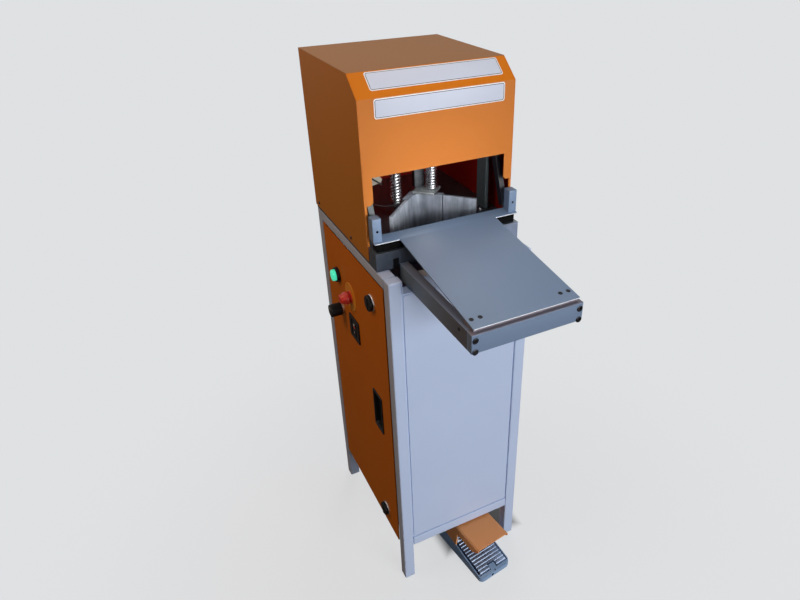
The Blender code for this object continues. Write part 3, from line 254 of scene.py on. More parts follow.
# %% Turned surfaces, sweeps and screw heads
def turned(profile, around=64, ripple=None):
    """Points (r cos a, r sin a, h) for each (r, h) of the profile, with `ripple(a, h)` added to r."""
    profile = np.asarray(profile, float)
    a = np.linspace(0, 2 * np.pi, around, endpoint=False)[None, :]
    r = profile[:, 0:1] + 0 * a
    h = profile[:, 1:2] + 0 * a
    if ripple is not None:
        r = r + ripple(a, h)
    return np.stack([r * np.cos(a), r * np.sin(a), h], -1)


def arc_profile(centre, radius, start, end, steps=5):
    """Profile points on an arc: centre + radius (cos t, sin t), t from start to end in degrees."""
    t = np.radians(np.linspace(start, end, steps))
    return np.stack([centre[0] + radius * np.cos(t), centre[1] + radius * np.sin(t)], -1)


def swept(path, radius, around=10):
    """A round wire: path + radius (cos b * s + sin b * t), s = tangent x up, t = s x tangent."""
    path = np.asarray(path, float)
    tangent = np.gradient(path, axis=0)
    tangent /= np.linalg.norm(tangent, axis=1, keepdims=True)
    side = np.cross(tangent, UP)
    side /= np.linalg.norm(side, axis=1, keepdims=True)
    other = np.cross(side, tangent)
    b = np.linspace(0, 2 * np.pi, around, endpoint=False)
    rings = path[:, None] + radius * (
        np.cos(b)[None, :, None] * side[:, None] + np.sin(b)[None, :, None] * other[:, None]
    )
    return stack(rings)


def cap_screw(radius, height, socket):
    """A dome head, rings (r(a), h), with a hexagon socket: r = socket / cos((a mod 60) - 30), in degrees."""
    a = np.linspace(0, 2 * np.pi, 24, endpoint=False)
    sixth = np.pi / 3
    hexagon = socket / np.cos(np.mod(a, sixth) - sixth / 2)
    circle = np.ones_like(a)
    radii = [
        circle * radius, circle * radius, circle * radius * 0.93, circle * radius * 0.78,
        circle * socket * 1.25, hexagon, hexagon, hexagon * 0.6,
    ]
    heights = np.array([0.0, 0.45, 0.8, 1.0, 1.0, 0.95, 0.35, 0.28]) * height
    rings = [np.stack([r * np.cos(a), r * np.sin(a), 0 * a + h], -1) for r, h in zip(radii, heights)]
    return stack(rings)


def helix(radius, low, high, turns, shut, per_turn=24):
    """Wire path (r cos a, r sin a, z(a)), z rising `shut` in the first and last turn and evenly between."""
    t = np.linspace(0, turns, int(turns * per_turn) + 1)
    z = np.interp(t, [0, 1, turns - 1, turns], [low, low + shut, high - shut, high])
    a = 2 * np.pi * t
    return np.stack([radius * np.cos(a), radius * np.sin(a), z], -1)


# %% [markdown]
# ## Materials from nodes
#
# Each finish is written as a small graph. Object coordinates are used throughout, and every piece
# sits unturned at the origin, so one unit of texture space is one metre and a scale of 1 / 0.002
# gives a grain of two millimetres. Colours are the ones a painter would name, given in hex and
# turned into linear light, because the shader adds light and a hex code doesn't.

# %% Material helpers
def linear(code):
    """sRGB hex to linear: c / 12.92 below 0.04045, else ((c + 0.055) / 1.055) ** 2.4."""
    c = np.array([int(code[i:i + 2], 16) for i in (1, 3, 5)]) / 255
    value = np.where(c <= 0.04045, c / 12.92, ((c + 0.055) / 1.055) ** 2.4)
    return (*value.tolist(), 1.0)


def feed(tree, target, inputs):
    """Set a node's inputs, each to a value, a link from a socket or one from a node's first output."""
    for key, value in inputs.items():
        if isinstance(value, bpy.types.Node):
            value = next(socket for socket in value.outputs if socket.enabled)
        if isinstance(value, bpy.types.NodeSocket):
            tree.links.new(value, target.inputs[key])
        else:
            target.inputs[key].default_value = value
    return target


def node(tree, kind, inputs=None, **settings):
    """Add one node of a kind: settings are its properties, and its inputs are what `feed` takes."""
    new = tree.nodes.new("ShaderNode" + kind)
    for key, value in settings.items():
        setattr(new, key, value)
    return feed(tree, new, inputs or {})


def blank(name):
    """A material with an empty graph but for its shader and output."""
    material = bpy.data.materials.new(name)
    material.use_nodes = True
    tree = material.node_tree
    return material, tree, tree.nodes["Principled BSDF"]


def surface(tree, shader, tones, height, depth, smooth, rough):
    """Give a shader its tones, and one pattern as both its height, up to `depth`, and its roughness."""
    gloss = node(tree, "MapRange", {"Value": height, "From Min": 0.3, "From Max": 0.7, "To Min": smooth,
                                    "To Max": rough})
    bump = node(tree, "Bump", {"Height": height, "Distance": depth, "Strength": 1.0})
    feed(tree, shader, {"Base Color": tones, "Roughness": gloss, "Normal": bump})


def painted(name, light, dark, roughness, grain=0.0006, depth=0.00001, sheen=0.5):
    """Paint or moulded plastic: two close tones in clouds of 0.2 m, and a fine pattern in height and gloss,
    the orange peel that a spray gun leaves or the grain of a spark-eroded mould."""
    material, tree, shader = blank(name)
    place = node(tree, "TexCoord").outputs["Object"]
    cloud = node(tree, "TexNoise", {"Vector": place, "Scale": 1 / 0.2, "Detail": 3.0})
    tones = node(tree, "Mix", {"Factor": cloud, "A": linear(light), "B": linear(dark)}, data_type="RGBA")
    peel = node(tree, "TexNoise", {"Vector": place, "Scale": 1 / grain, "Detail": 2.0})
    surface(tree, shader, tones, peel, depth, roughness - 0.05, roughness + 0.07)
    shader.inputs["Specular IOR Level"].default_value = sheen
    return material


def metal(name, light, dark, roughness, streaks, depth=0.00002, cloud=0.03, metallic=1.0):
    """Worked metal: noise of `streaks` = (x, y, z) cycles per metre gives tool lines in gloss and height. The
    tone follows those lines times soft patches `cloud` metres wide. Oil takes `metallic` below 1."""
    material, tree, shader = blank(name)
    place = node(tree, "TexCoord").outputs["Object"]
    stretch = node(tree, "Mapping", {"Vector": place, "Scale": streaks})
    lines = node(tree, "TexNoise", {"Vector": stretch, "Scale": 1.0, "Detail": 4.0})
    patches = node(tree, "TexNoise", {"Vector": place, "Scale": 1 / cloud, "Detail": 3.0})
    product = node(tree, "Math", {0: lines, 1: patches}, operation="MULTIPLY")
    spread = node(tree, "MapRange", {"Value": product, "From Min": 0.14, "From Max": 0.38})
    tones = node(tree, "Mix", {"Factor": spread, "A": linear(dark), "B": linear(light)}, data_type="RGBA")
    surface(tree, shader, tones, lines, depth, roughness - 0.06, roughness + 0.08)
    shader.inputs["Metallic"].default_value = metallic
    return material


# %% [markdown]
# ## The finishes
#
# The hood, door and pedal guard are powder coated in a warm orange whose fine texture keeps the
# highlights broad; the guard's orange is painted paler, which is painted light. The frame and front
# panel are light grey enamel with a blue cast, smoother, so the panel picks up a soft sheen. The
# table is a darker slate blue, painted lighter than the other slate parts for the light on it, with
# a near-white painted highlight along its edges. The bars below it are darker still. The fences are
# ground steel under a film of oil, which greys their shine, the left one painted lighter and the
# right one darker for the light on each, and the guide rods are polished. The packers under the
# table are brown-grey paint, and near black where that paints the shade under the sheet.

# %% The finishes
ORANGE = painted("orange_powder_coat", "#D2740E", "#CA6C0C", 0.58, 0.0016, 0.0001, 0.16)
GREY = painted("light_grey_enamel", "#C2D2F0", "#B9C9E8", 0.45, 0.0035, 0.00005, 0.35)
SLATE = painted("slate_blue_enamel", "#70839F", "#687B96", 0.42, 0.003, 0.00005, 0.35)
# The table's slate is painted lighter than the other slate parts: painted light on its top.
TABLE_TOP = painted("slate_enamel_painted_lit_table", "#7D92AF", "#738AA9", 0.38, 0.003, 0.00005, 0.35)
BAR = painted("dark_slate_enamel", "#5E6068", "#505259", 0.46, 0.003, 0.00006, 0.3)
GROUND = metal("ground_steel", "#D3D7DD", "#80868F", 0.42, (110.0, 110.0, 22.0), cloud=0.025)
OILED_LINES = (90.0, 90.0, 12.0)
# The left fence plate is painted lighter, and the right one and the forming die darker: painted light and
# shade on one ground steel.
GROUND_LIT = metal("ground_steel_painted_lit", "#D8DEE8", "#98A0AC", 0.42, OILED_LINES, 0.00002, 0.04, 0.35)
GROUND_SHADED = metal("ground_steel_painted_shade", "#B4BBC8", "#828A96", 0.42, OILED_LINES, 0.00002, 0.04, 0.35)
BRIGHT = metal("polished_steel", "#E6E8EA", "#CACCD0", 0.24, (400.0, 400.0, 60.0), 0.00001)
OXIDE = metal("blackened_steel", "#45474C", "#1F2024", 0.34, (300.0, 300.0, 300.0))
ALLOY = metal("cast_alloy", "#97A6BE", "#707E96", 0.46, (500.0, 500.0, 500.0), 0.00008)
# Dark slate for the block's left end, where the block's shade is painted.
DARK = painted("dark_slate_steel", "#3D4756", "#303845", 0.45, 0.004, 0.00006)
FRAME_STEEL = painted("grey_green_steel", "#4C575A", "#3D4749", 0.42, 0.004, 0.00006)
# Near black for holes, a notch and a gap: painted shade.
NEAR_BLACK_SHADE = painted("near_black_painted_shade", "#060607", "#030304", 0.8, 0.002, 0.0001, 0.1)
BROWN_GREY = painted("brown_grey_paint", "#837C86", "#736C76", 0.5, 0.002, 0.0001, 0.2)
# Near white: a painted highlight on the table's edges and on a screw head.
PAINTED_HIGHLIGHT = painted("painted_highlight_white", "#F0F3F8", "#DDE1E8", 0.35, 0.002, 0.00002)
# The guard's orange is painted paler than the hood's: painted light for the haze of light on it.
GUARD = painted("pale_orange_coat_painted_light", "#EFA86E", "#E89C64", 0.58, 0.0016, 0.0001, 0.2)
PEDAL = painted("blue_grey_casting", "#93B1D6", "#829EC2", 0.5, 0.003, 0.0001, 0.35)
FOOT = metal("milled_steel", "#C6CACB", "#8C9092", 0.55, (500.0, 60.0, 500.0))
RAM = metal("worn_steel_bar", "#54575A", "#34373A", 0.4, (60.0, 60.0, 500.0))
BLACK = painted("black_plastic", "#0A0B0E", "#07080A", 0.45, sheen=0.25)
RED = painted("red_plastic", "#E23A2A", "#D43224", 0.32)
YELLOW = painted("yellow_plastic", "#F0A226", "#E6981F", 0.42)
WHITE = painted("white_print", "#F4F4F6", "#ECECF0", 0.5)
PLATE = painted("pale_blue_plate", "#D2D9EA", "#C9D0E2", 0.45)
INK = painted("dark_print", "#2B2C36", "#23242C", 0.5)
BEIGE = painted("beige_coating", "#9A9384", "#8C8576", 0.5)

LENS_RIB = 0.004


def lit_lens(name, colour, glow):
    """A lit lens: glossy plastic that glows, with moulded ribs as bands of a wave between two tones."""
    material, tree, shader = blank(name)
    place = node(tree, "TexCoord").outputs["Object"]
    ribs = node(tree, "TexWave", {"Vector": place, "Scale": 1 / LENS_RIB, "Distortion": 0.0},
                bands_direction="Z")
    tones = node(tree, "Mix", {"Factor": ribs.outputs["Fac"], "A": linear(colour), "B": linear(glow)},
                 data_type="RGBA")
    feed(tree, shader, {"Base Color": tones, "Emission Color": tones, "Emission Strength": 0.9,
                        "Roughness": 0.18})
    return material


LENS = lit_lens("green_lens", "#1DBB93", "#58E8C0")

# %% [markdown]
# Three kinds of colour change are a second colour over a copy of a finish. One fades in along an
# axis: the painted shade on the block's left end and on a stay, and the bars' blue towards their
# back. One is laid on a top face: the block's top rubbed bare, and painted light on the bars' tops.
# The third is the hood's. The hood is one orange paint whose faces carry painted light and shade:
# brightest on its front, purer on its chamfer and browner on its sides and back. Its top is a
# greyer brown, painted sheen and shade, and inside its sheets it is a dark red.

# %% Wear, dust and primer
BROW = np.array([0.0, 0.104, 1.333])     # the hood's front edge below its chamfer
CROWN = np.array([0.0, 0.154, 1.375])    # and above it
HOOD_SHEET = 0.002
# Painted light on the hood: the oranges of its faces stand for how light falls on one paint, and the top's
# brown for sheen and shade.
LIT_FRONT_ORANGE = "#CF7B34"
SHADED_SIDE_ORANGE = "#B87628"
LIT_CHAMFER_ORANGE = "#D3750B"
TOP_SHEEN_AND_SHADE = "#9C7048"
INSIDE_DARK_RED = "#8E1206"
HOOD_REAR_Y = 0.474
SLANT = unit(CROWN - BROW)
SLANT_OUT = np.cross(RIGHT, SLANT)
SLANT_LEVEL = float(SLANT_OUT @ (BROW + ORIGIN))
FRONT_LEVEL = float(BROW[1] + ORIGIN[1])
TOP_LEVEL = float(CROWN[2])
BAR_TOP = 0.9853


def repainted(name, base):
    """A copy of a finish to lay colours on: the material, its graph and the place on each axis."""
    material = base.copy()
    material.name = name
    tree = material.node_tree
    place = node(tree, "TexCoord").outputs["Object"]
    return material, tree, node(tree, "SeparateXYZ", {"Vector": place}).outputs


def cover(tree, share, colour):
    """Lay one colour over a finish: old * (1 - share) + colour * share."""
    shader = tree.nodes["Principled BSDF"]
    old = shader.inputs["Base Color"].links[0].from_socket
    both = node(tree, "Mix", {"Factor": share, "A": old, "B": linear(colour)}, data_type="RGBA")
    feed(tree, shader, {"Base Color": both})


def inside_hood(tree, axes, slanted):
    """1 inside the hood's sheets and 0 outside: the product of one comparison for each of five sides."""
    from_middle = node(tree, "Math", {0: axes["X"], 1: float(ORIGIN[0])}, operation="SUBTRACT")
    across = node(tree, "Math", {0: from_middle}, operation="ABSOLUTE")
    tests = [
        (across, "LESS_THAN", CABINET_HALF + HOOD_SHEET / 2),
        (axes["Y"], "GREATER_THAN", FRONT_LEVEL + HOOD_SHEET / 2),
        (axes["Y"], "LESS_THAN", HOOD_REAR_Y + float(ORIGIN[1])),
        (axes["Z"], "LESS_THAN", TOP_LEVEL - HOOD_SHEET / 2),
        (slanted, "LESS_THAN", SLANT_LEVEL - HOOD_SHEET / 2),
    ]
    result = 1.0
    for value, comparison, limit in tests:
        test = node(tree, "Math", {0: value, 1: limit}, operation=comparison)
        result = node(tree, "Math", {0: result, 1: test}, operation="MULTIPLY")
    return result


def hood_finish():
    """Each colour of the hood laid over the one before it, where a point lies on the side that has it:
    painted light and shade on its faces, painted sheen and shade on its top, and dark red inside.
    """
    material, tree, axes = repainted("hood_orange_painted_light", ORANGE)
    place = node(tree, "TexCoord").outputs["Object"]
    slanted = node(tree, "VectorMath", {0: place, 1: SLANT_OUT.tolist()}, operation="DOT_PRODUCT")
    behind = node(tree, "MapRange", {"Value": axes["Y"], "From Min": FRONT_LEVEL + 0.001,
                                     "From Max": FRONT_LEVEL + 0.003})
    on_slant = node(tree, "MapRange", {"Value": slanted, "From Min": SLANT_LEVEL - 0.001,
                                       "From Max": SLANT_LEVEL - 0.0004})
    above = node(tree, "Math", {0: axes["Z"], 1: float(BROW[2]) + 0.0005}, operation="GREATER_THAN")
    chamfer = node(tree, "Math", {0: on_slant, 1: above}, operation="MULTIPLY")
    top = node(tree, "MapRange", {"Value": axes["Z"], "From Min": TOP_LEVEL - 0.0012,
                                  "From Max": TOP_LEVEL - 0.0004, "To Max": 0.85})
    # The front, chamfer and side oranges are painted light and shade; the top's colour is painted sheen and
    # shade.
    cover(tree, 1.0, LIT_FRONT_ORANGE)
    cover(tree, behind, SHADED_SIDE_ORANGE)
    cover(tree, chamfer, LIT_CHAMFER_ORANGE)
    cover(tree, top, TOP_SHEEN_AND_SHADE)
    cover(tree, inside_hood(tree, axes, slanted), INSIDE_DARK_RED)
    return material


def blended(name, base, axis, start, end, colour):
    """A copy of a finish whose colour turns into another one between two places along one axis."""
    material, tree, axes = repainted(name, base)
    along = node(tree, "MapRange", {"Value": axes[axis], "From Min": start, "From Max": end})
    cover(tree, along, colour)
    return material


def worn_and_lit_top(name, base, height, colour, bare=True):
    """A copy of a finish with another colour above one height: paint rubbed down to `bare` metal on the
    block, and a painted highlight on the bars' top faces.
    """
    material, tree, axes = repainted(name, base)
    top = node(tree, "Math", {0: axes["Z"], 1: height - 0.0004}, operation="GREATER_THAN")
    cover(tree, top, colour)
    if bare:
        feed(tree, tree.nodes["Principled BSDF"], {"Metallic": top})
    return material


HOOD = hood_finish()
# Near black on the right column beyond one place: painted shade on the stay.
COLUMN_STAY = blended("grey_green_painted_shade_stay", FRAME_STEEL, "X", 0.1745, 0.1752, "#14161E")
# The block's paint runs from painted shade at its left end to a lighter slate towards its lit right; its top
# is rubbed bare.
BLOCK_SHADED_LEFT = blended("slate_paint_painted_shade_left", DARK, "X", 0.0, 0.14, "#77839B")
BLOCK = worn_and_lit_top("painted_shade_left_bare_top", BLOCK_SHADED_LEFT, BLOCK_TOP, "#7A7F86")
# The side bars are darker at the front and turn bluer towards the back.
BAR_BLUER_TO_BACK = blended("slate_enamel_bluer_to_back", BAR, "Y", -0.3, -0.08, "#6E8296")
# The bars' top faces are painted lighter: painted light falling from above.
BARS = worn_and_lit_top("side_bars_painted_lit_top", BAR_BLUER_TO_BACK, BAR_TOP, "#76839C", bare=False)
FRONT_BAR = worn_and_lit_top("front_bar_painted_lit_top", SLATE, BAR_TOP, "#7C7884", bare=False)
print("worn finishes:", [material.name for material in (HOOD, COLUMN_STAY, BLOCK, BARS, FRONT_BAR)])

# %% [markdown]
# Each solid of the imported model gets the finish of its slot, unless it has one of its own.

# %% Finish of each solid
FINISH_OF_SLOT = {
    "orange_paint": ORANGE, "grey_paint": GREY, "slate_paint": SLATE, "ground_steel": GROUND,
    "bright_steel": BRIGHT, "black_plastic": BLACK, "red_plastic": RED, "yellow_plastic": YELLOW,
    "green_lens": LENS, "cast_alloy": ALLOY,
}
FINISH_OF_NODE = {
    "hood_front": HOOD, "hood_side_left": HOOD, "hood_side_right": HOOD, "hood_back": HOOD,
    "side_bar_left": BARS, "side_bar_right": BARS, "pedal_guard": GUARD, "pedal_base": PEDAL,
    "column_left": FRAME_STEEL, "column_right": COLUMN_STAY, "crosshead": FRAME_STEEL,
    "ram_bar": RAM, "clamp_foot": FOOT,
}
for solid_name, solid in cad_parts.items():
    slot_name = solid.data.materials[0].name.split(".")[0] if solid.data.materials else ""
    chosen = FINISH_OF_NODE.get(solid_name, FINISH_OF_SLOT.get(slot_name, GREY))
    print(solid_name, slot_name, chosen.name)
    for index in range(len(solid.data.materials)):
        solid.data.materials[index] = chosen

# %% [markdown]
# ## Coil springs and guide rods
#
# The clamp spring and the guide spring are wound from 3 mm wire with their end turns closed, so the
# pitch is small in the first and last turn and even between. The real clamp spring shortens as the
# foot rises, with its upper end held by the crosshead; here it is built once, at rest, with a mesh
# of its own.

# %% Springs and rods
SPRING_RADIUS = 0.0125
SPRING_WIRE = 0.0015
SPRING_TURNS = 26
SPRING_SHUT = 0.0032
MOVING_ROD = (0.034, 0.222)
FIXED_ROD = (-0.054, 0.234)
ROD_RADIUS = 0.006


def spring_between(node_name, place):
    """Spring wire whose lowest and highest points are those of the CAD node it stands for."""
    foot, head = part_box(node_name)
    path = helix(SPRING_RADIUS, foot[2] + SPRING_WIRE, head[2] - SPRING_WIRE, SPRING_TURNS, SPRING_SHUT)
    return swept(path + np.array([*place, 0.0]), SPRING_WIRE), foot[2], head[2]


def rod_between(node_name, place):
    """A turned rod with a 1 mm chamfer at its top and a shallow groove for a clip below it."""
    foot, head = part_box(node_name)
    r = ROD_RADIUS
    profile = [
        (r, foot[2]), (r, head[2] - 0.01), (r - 0.0008, head[2] - 0.0098), (r - 0.0008, head[2] - 0.0082),
        (r, head[2] - 0.008), (r, head[2] - 0.001), (r - 0.001, head[2]),
    ]
    return posed(stack(turned(profile, 40)), (*place, 0.0), RIGHT, UP)


clamp_wire, spring_foot, spring_head = spring_between("clamp_spring", MOVING_ROD)
clamp_spring = make("clamp_spring_wire", [clamp_wire], BRIGHT, "machine", ["clamp_spring"])
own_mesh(clamp_spring)
guide_wire = spring_between("guide_spring", FIXED_ROD)[0]
make("guide_spring_wire", [guide_wire], BRIGHT, "machine", ["guide_spring"])
make("guide_rod", [rod_between("guide_post", FIXED_ROD)], BRIGHT, "machine", ["guide_post"])
make("clamp_rod_turned", [rod_between("clamp_rod", MOVING_ROD)], BRIGHT, "clamp",
     ["clamp_rod"])

# %% [markdown]
# ## Name plates
#
# Two plates are stuck on the hood, one on the chamfer and one on the front face. Each is a thin
# white plate with a dark line set in from its edge and a pale blue field inside the line. Each
# colour is its own thin layer, 0.15 mm above the one below, so the layers never share a plane.

# %% Name plates
PLATE_RIM = 0.0022
PLATE_LINE = 0.0012


def name_plate(name, width, height, origin, out):
    """Three rounded rectangles, each given by finish, distance in, corner radius, foot, top and bevel."""
    layers = (
        ("rim", WHITE, 0.0, 0.005, 0.0, 0.0005, 0.0002),
        ("line", INK, PLATE_RIM, 0.004, 0.0005, 0.00065, 0.00005),
        ("field", PLATE, PLATE_RIM + PLATE_LINE, 0.003, 0.00065, 0.0008, 0.00005),
    )
    for layer, finish, inward, radius, low, high, edge in layers:
        outline = rounded(rectangle(width - 2 * inward, height - 2 * inward), radius)
        make(f"{name}_{layer}", [posed(slab(outline, low, high, edge), origin, RIGHT, out)], finish)


upper_middle = BROW + SLANT * 0.0395 + RIGHT * 0.006
name_plate("upper_plate", 0.306, 0.045, upper_middle, SLANT_OUT)
name_plate("lower_plate", 0.3025, 0.04, (0.0043, 0.104, 1.3115), -BACK)
print("upper plate middle:", np.round(upper_middle, 4))

# %% [markdown]
# ## Door controls
#
# The operator's controls sit on the left side door, where the left hand reaches them: a lit start
# button in a black bezel, a mushroom stop on a yellow ring, a fluted regulator knob and a rocker
# power switch. Each is built looking straight at the door, local x to the machine's front, local y
# up and local z out of the door.

# %% Door controls
def on_door(part, place):
    """Put a part made flat at the origin onto the door's face at (y, z)."""
    return posed(part, (DOOR_FACE_X, *place), -BACK, -RIGHT)


START = (0.35, 0.831)
STOP = (0.262, 0.808)
KNOB = (0.335, 0.735)
SWITCH = (0.249, 0.7185)
bezel_profile = np.vstack([
    (0.0156, 0.0), (0.02, 0.0), (0.02, 0.0066), arc_profile((0.0182, 0.0082), 0.0018, 0, 90),
    (0.0164, 0.0096), (0.0156, 0.0088),
])
make("start_bezel_ring", [on_door(hoop(turned(bezel_profile, 72)), START)], BLACK, "door",
     ["start_bezel"])
lens_profile = np.vstack([
    (0.015, 0.0034), (0.015, 0.015), arc_profile((0.0125, 0.0158), 0.0025, 0, 60, 4), (0.01, 0.0186),
    (0.005, 0.0189), (0.0008, 0.019),
])
make("start_lens", [on_door(stack(turned(lens_profile, 72)), START)], LENS, "start",
     ["start_button"])
ring_profile = [(0.014, 0.0), (0.038, 0.0), (0.038, 0.001), (0.0374, 0.0015), (0.014, 0.0015)]
make("stop_ring_plate", [on_door(hoop(turned(ring_profile, 96)), STOP)], YELLOW, "door",
     ["stop_ring"])
collar_profile = [(0.0114, 0.0015), (0.0168, 0.0015), (0.0168, 0.0036), (0.0164, 0.004), (0.0114, 0.004)]
make("stop_collar", [on_door(hoop(turned(collar_profile, 72)), STOP)], RED, "door")
neck_profile = [(0.011, 0.0043), (0.011, 0.0092), (0.0108, 0.0094)]
make("stop_neck", [on_door(stack(turned(neck_profile, 48)), STOP)], RED, "stop")
head_profile = np.vstack([
    (0.0109, 0.0094), (0.016, 0.009), arc_profile((0.016, 0.0105), 0.0015, -90, 10, 6), (0.0168, 0.015),
    (0.0146, 0.0205), (0.0118, 0.0252), arc_profile((0.007, 0.0245), 0.0055, 20, 80), (0.004, 0.03),
    (0.001, 0.03),
])
make("stop_head", [on_door(stack(turned(head_profile, 72)), STOP)], RED, "stop",
     ["stop_button"])
KNOB_FLUTES = 20
FLUTE_DEPTH = 0.0007
KNOB_FOOT = 0.0066


def knob_flutes(angle, height):
    """Flutes round the knob: depth * (cos(20 a) - 1) / 2, fading out towards its foot and its top."""
    fade = np.clip((0.036 - height) / 0.003, 0, 1) * np.clip((height - KNOB_FOOT) / 0.001, 0, 1)
    return -FLUTE_DEPTH * fade * (1 - np.cos(KNOB_FLUTES * angle)) / 2


knob_profile = np.vstack([
    (0.0168, KNOB_FOOT), (0.0174, 0.0072), (0.0174, 0.034), arc_profile((0.0156, 0.0356), 0.0018, 10, 85),
    (0.013, 0.0374), (0.001, 0.0374),
])
make("regulator_grip", [on_door(stack(turned(knob_profile, 200, knob_flutes)), KNOB)], BLACK, "regulator",
     ["regulator_knob"])
mark = slab(rounded(rectangle(0.0016, 0.011, (0.0, 0.0078)), 0.0006), 0.0373, 0.0376, 0.00005)
make("regulator_mark", [on_door(mark, KNOB)], WHITE, "regulator")
print("flutes round the knob:", KNOB_FLUTES)

# %% [markdown]
# The power switch is a square bezel with a sunk field and a rocker. The rocker's face is a shallow
# V, one half pressed in, so it is an outline of two slopes carried across its width.

# %% Power switch
SWITCH_SIZE = 0.066
FIELD_SIZE = (0.036, 0.046)
outer = rounded(rectangle(SWITCH_SIZE, SWITCH_SIZE), 0.003)
inner = rounded(rectangle(*FIELD_SIZE), 0.002)
make("switch_bezel", [on_door(window_slab(outer, inner, 0.0, 0.0035), SWITCH)], BLACK, "door",
     ["power_switch"])
make("switch_field", [on_door(slab(inset(inner, 0.0002), 0.0001, 0.001, 0.0001), SWITCH)], INK, "door")
ROCKER_UP = 0.02                    # half its height
ROCKER_LOW = 0.0011
ROCKER_HIGH = 0.0034
rocker_view = rounded([
    [-ROCKER_UP, ROCKER_LOW], [ROCKER_UP, ROCKER_LOW], [ROCKER_UP, ROCKER_HIGH],
    [0.1 * ROCKER_UP, ROCKER_HIGH * 0.55], [-ROCKER_UP, ROCKER_HIGH * 0.72],
], 0.0006)
make("switch_rocker", [on_door(crosswise(rocker_view, 0.01), SWITCH)], BLACK, "door")
switch_on = slab(rounded(rectangle(0.0016, 0.007, (0.0, -0.011)), 0.0004), 0.003, 0.0037, 0.0001)
off_ring = hoop(turned([(0.0022, 0.0026), (0.0034, 0.0026), (0.0034, 0.004), (0.0022, 0.004)], 36))
OFF = (SWITCH[0], SWITCH[1] + 0.012)
make("switch_marks", [on_door(switch_on, SWITCH), on_door(off_ring, OFF)], WHITE, "door")
red_window = slab(rounded(rectangle(0.01, 0.005, (0.0, 0.004)), 0.0008), 0.002, 0.0032, 0.0002)
make("switch_window", [on_door(red_window, SWITCH)], RED, "door")
print("switch bezel side:", SWITCH_SIZE)

# %% [markdown]
# ## Latches and pull
#
# The door is shut by two quarter-turn latches: a polished ring against the sheet and a black cap
# with a raised grip across it. Between them a black cup is let into the door as a pull, with a
# rounded flange, a soft lip and a deep pocket for the fingers.

# %% Latches and pull
LATCHES = {"latch_upper": ((0.11, 0.873), "upper_latch"), "latch_lower": ((0.112, 0.184), "lower_latch")}
ring_profile = [(0.015, 0.0), (0.0205, 0.0), (0.0205, 0.0022), (0.0196, 0.0032), (0.015, 0.0032)]
latch_ring = hoop(turned(ring_profile, 72))
cap_profile = np.vstack([
    (0.014, 0.001), (0.0142, 0.0042), (0.019, 0.0046), (0.0197, 0.0054), (0.0197, 0.0095),
    arc_profile((0.0177, 0.0095), 0.002, 0, 80), (0.008, 0.0116), (0.001, 0.0117),
])
cap = stack(turned(cap_profile, 72))
grip = slab(rounded(rectangle(0.007, 0.033), 0.003), 0.0105, 0.013, 0.0008)
for solid_name, (place, body) in LATCHES.items():
    make(solid_name + "_ring", [on_door(latch_ring, place)], BRIGHT, "door")
    make(solid_name + "_cap", [on_door(cap, place), on_door(grip, place)], BLACK, body,
         [solid_name])

PULL = (0.118, 0.539)
PULL_WIDTH = 0.058
PULL_HEIGHT = 0.12
PULL_RINGS = [                      # how far in from the flange's outline, height, corner radius
    (0.004, -0.0138, 0.004), (0.003, -0.0132, 0.005), (0.003, 0.0, 0.005), (0.0, 0.0, 0.006),
    (0.0, 0.0014, 0.006), (0.0004, 0.0021, 0.006), (0.0012, 0.0025, 0.006), (0.005, 0.0025, 0.005),
    (0.0062, 0.002, 0.005), (0.0068, 0.0008, 0.005), (0.0076, -0.009, 0.005), (0.01, -0.0108, 0.005),
    (0.014, -0.011, 0.005),
]
pull_rings = [
    lifted(rounded(rectangle(PULL_WIDTH - 2 * inward, PULL_HEIGHT - 2 * inward), radius, 8), height)
    for inward, height, radius in PULL_RINGS
]
make("pull_cup", [on_door(stack(pull_rings), PULL)], BLACK, "door", ["door_pull"])
print("latches at", [place for place, body in LATCHES.values()])

# %% [markdown]
# ## Screws, front bar and notch
#
# Two screws hold the hood to the steel block, four countersunk ones hold the table near its front
# corners, and cap screws hold the bars' ends. All are small and dark, and their sockets are what
# makes them read as screws. Two bright ones stand on the block. The front bar is its face, with
# broken edges, carried from back to front, and a near-black patch on the block's front is painted
# shade for its notch.

# %% Screws, front bar and notch
SIDES = (-1, 1)
FRONT_BAR_FACE = -0.2575
FRONT_BAR_REAR = -0.239
TABLE_OUT = np.array([0.0, -math.sin(TABLE_SLOPE), math.cos(TABLE_SLOPE)])


def on_table(x, y):
    """Point on the table's top at (x, y): z = front z + (y - front y) tan(slope)."""
    return np.array([x, y, TABLE_FRONT[1] + (y - TABLE_FRONT[0]) * math.tan(TABLE_SLOPE)])


def screws(name, size, places, side, out, material=OXIDE):
    """Cap screws of one (radius, height, socket), their feet at the places, as one piece."""
    make(name, [posed(cap_screw(*size), place, side, out) for place in places], material)


screws("hood_screws", (0.004, 0.0022, 0.0016), [(-0.182, 0.443, 0.998), (-0.182, 0.209, 0.997)],
       BACK, -RIGHT)
screws("table_screws", (0.0048, 0.0007, 0.0022),
       [on_table(x, -0.227) for x in (-0.11, -0.091, 0.091, 0.11)], RIGHT, TABLE_OUT)
bar_view = rounded(rectangle(0.252, 0.042, (0.0, 0.9643)), 0.0012)
front_bar = posed(slab(bar_view, -FRONT_BAR_REAR, -FRONT_BAR_FACE, 0.0008), (0.0, 0.0, 0.0), RIGHT, -BACK)
make("front_bar_milled", [front_bar], FRONT_BAR, "machine", ["front_bar"])
screws("bar_screws", (0.0068, 0.0015, 0.003),
       [(x, FRONT_BAR_FACE, z) for x in (-0.118, 0.118) for z in (0.972, 0.947)], RIGHT, -BACK)
side_screws = [
    posed(cap_screw(0.004, 0.0008, 0.002), (side * 0.126, -0.209, 0.972), BACK, side * RIGHT)
    for side in SIDES
]
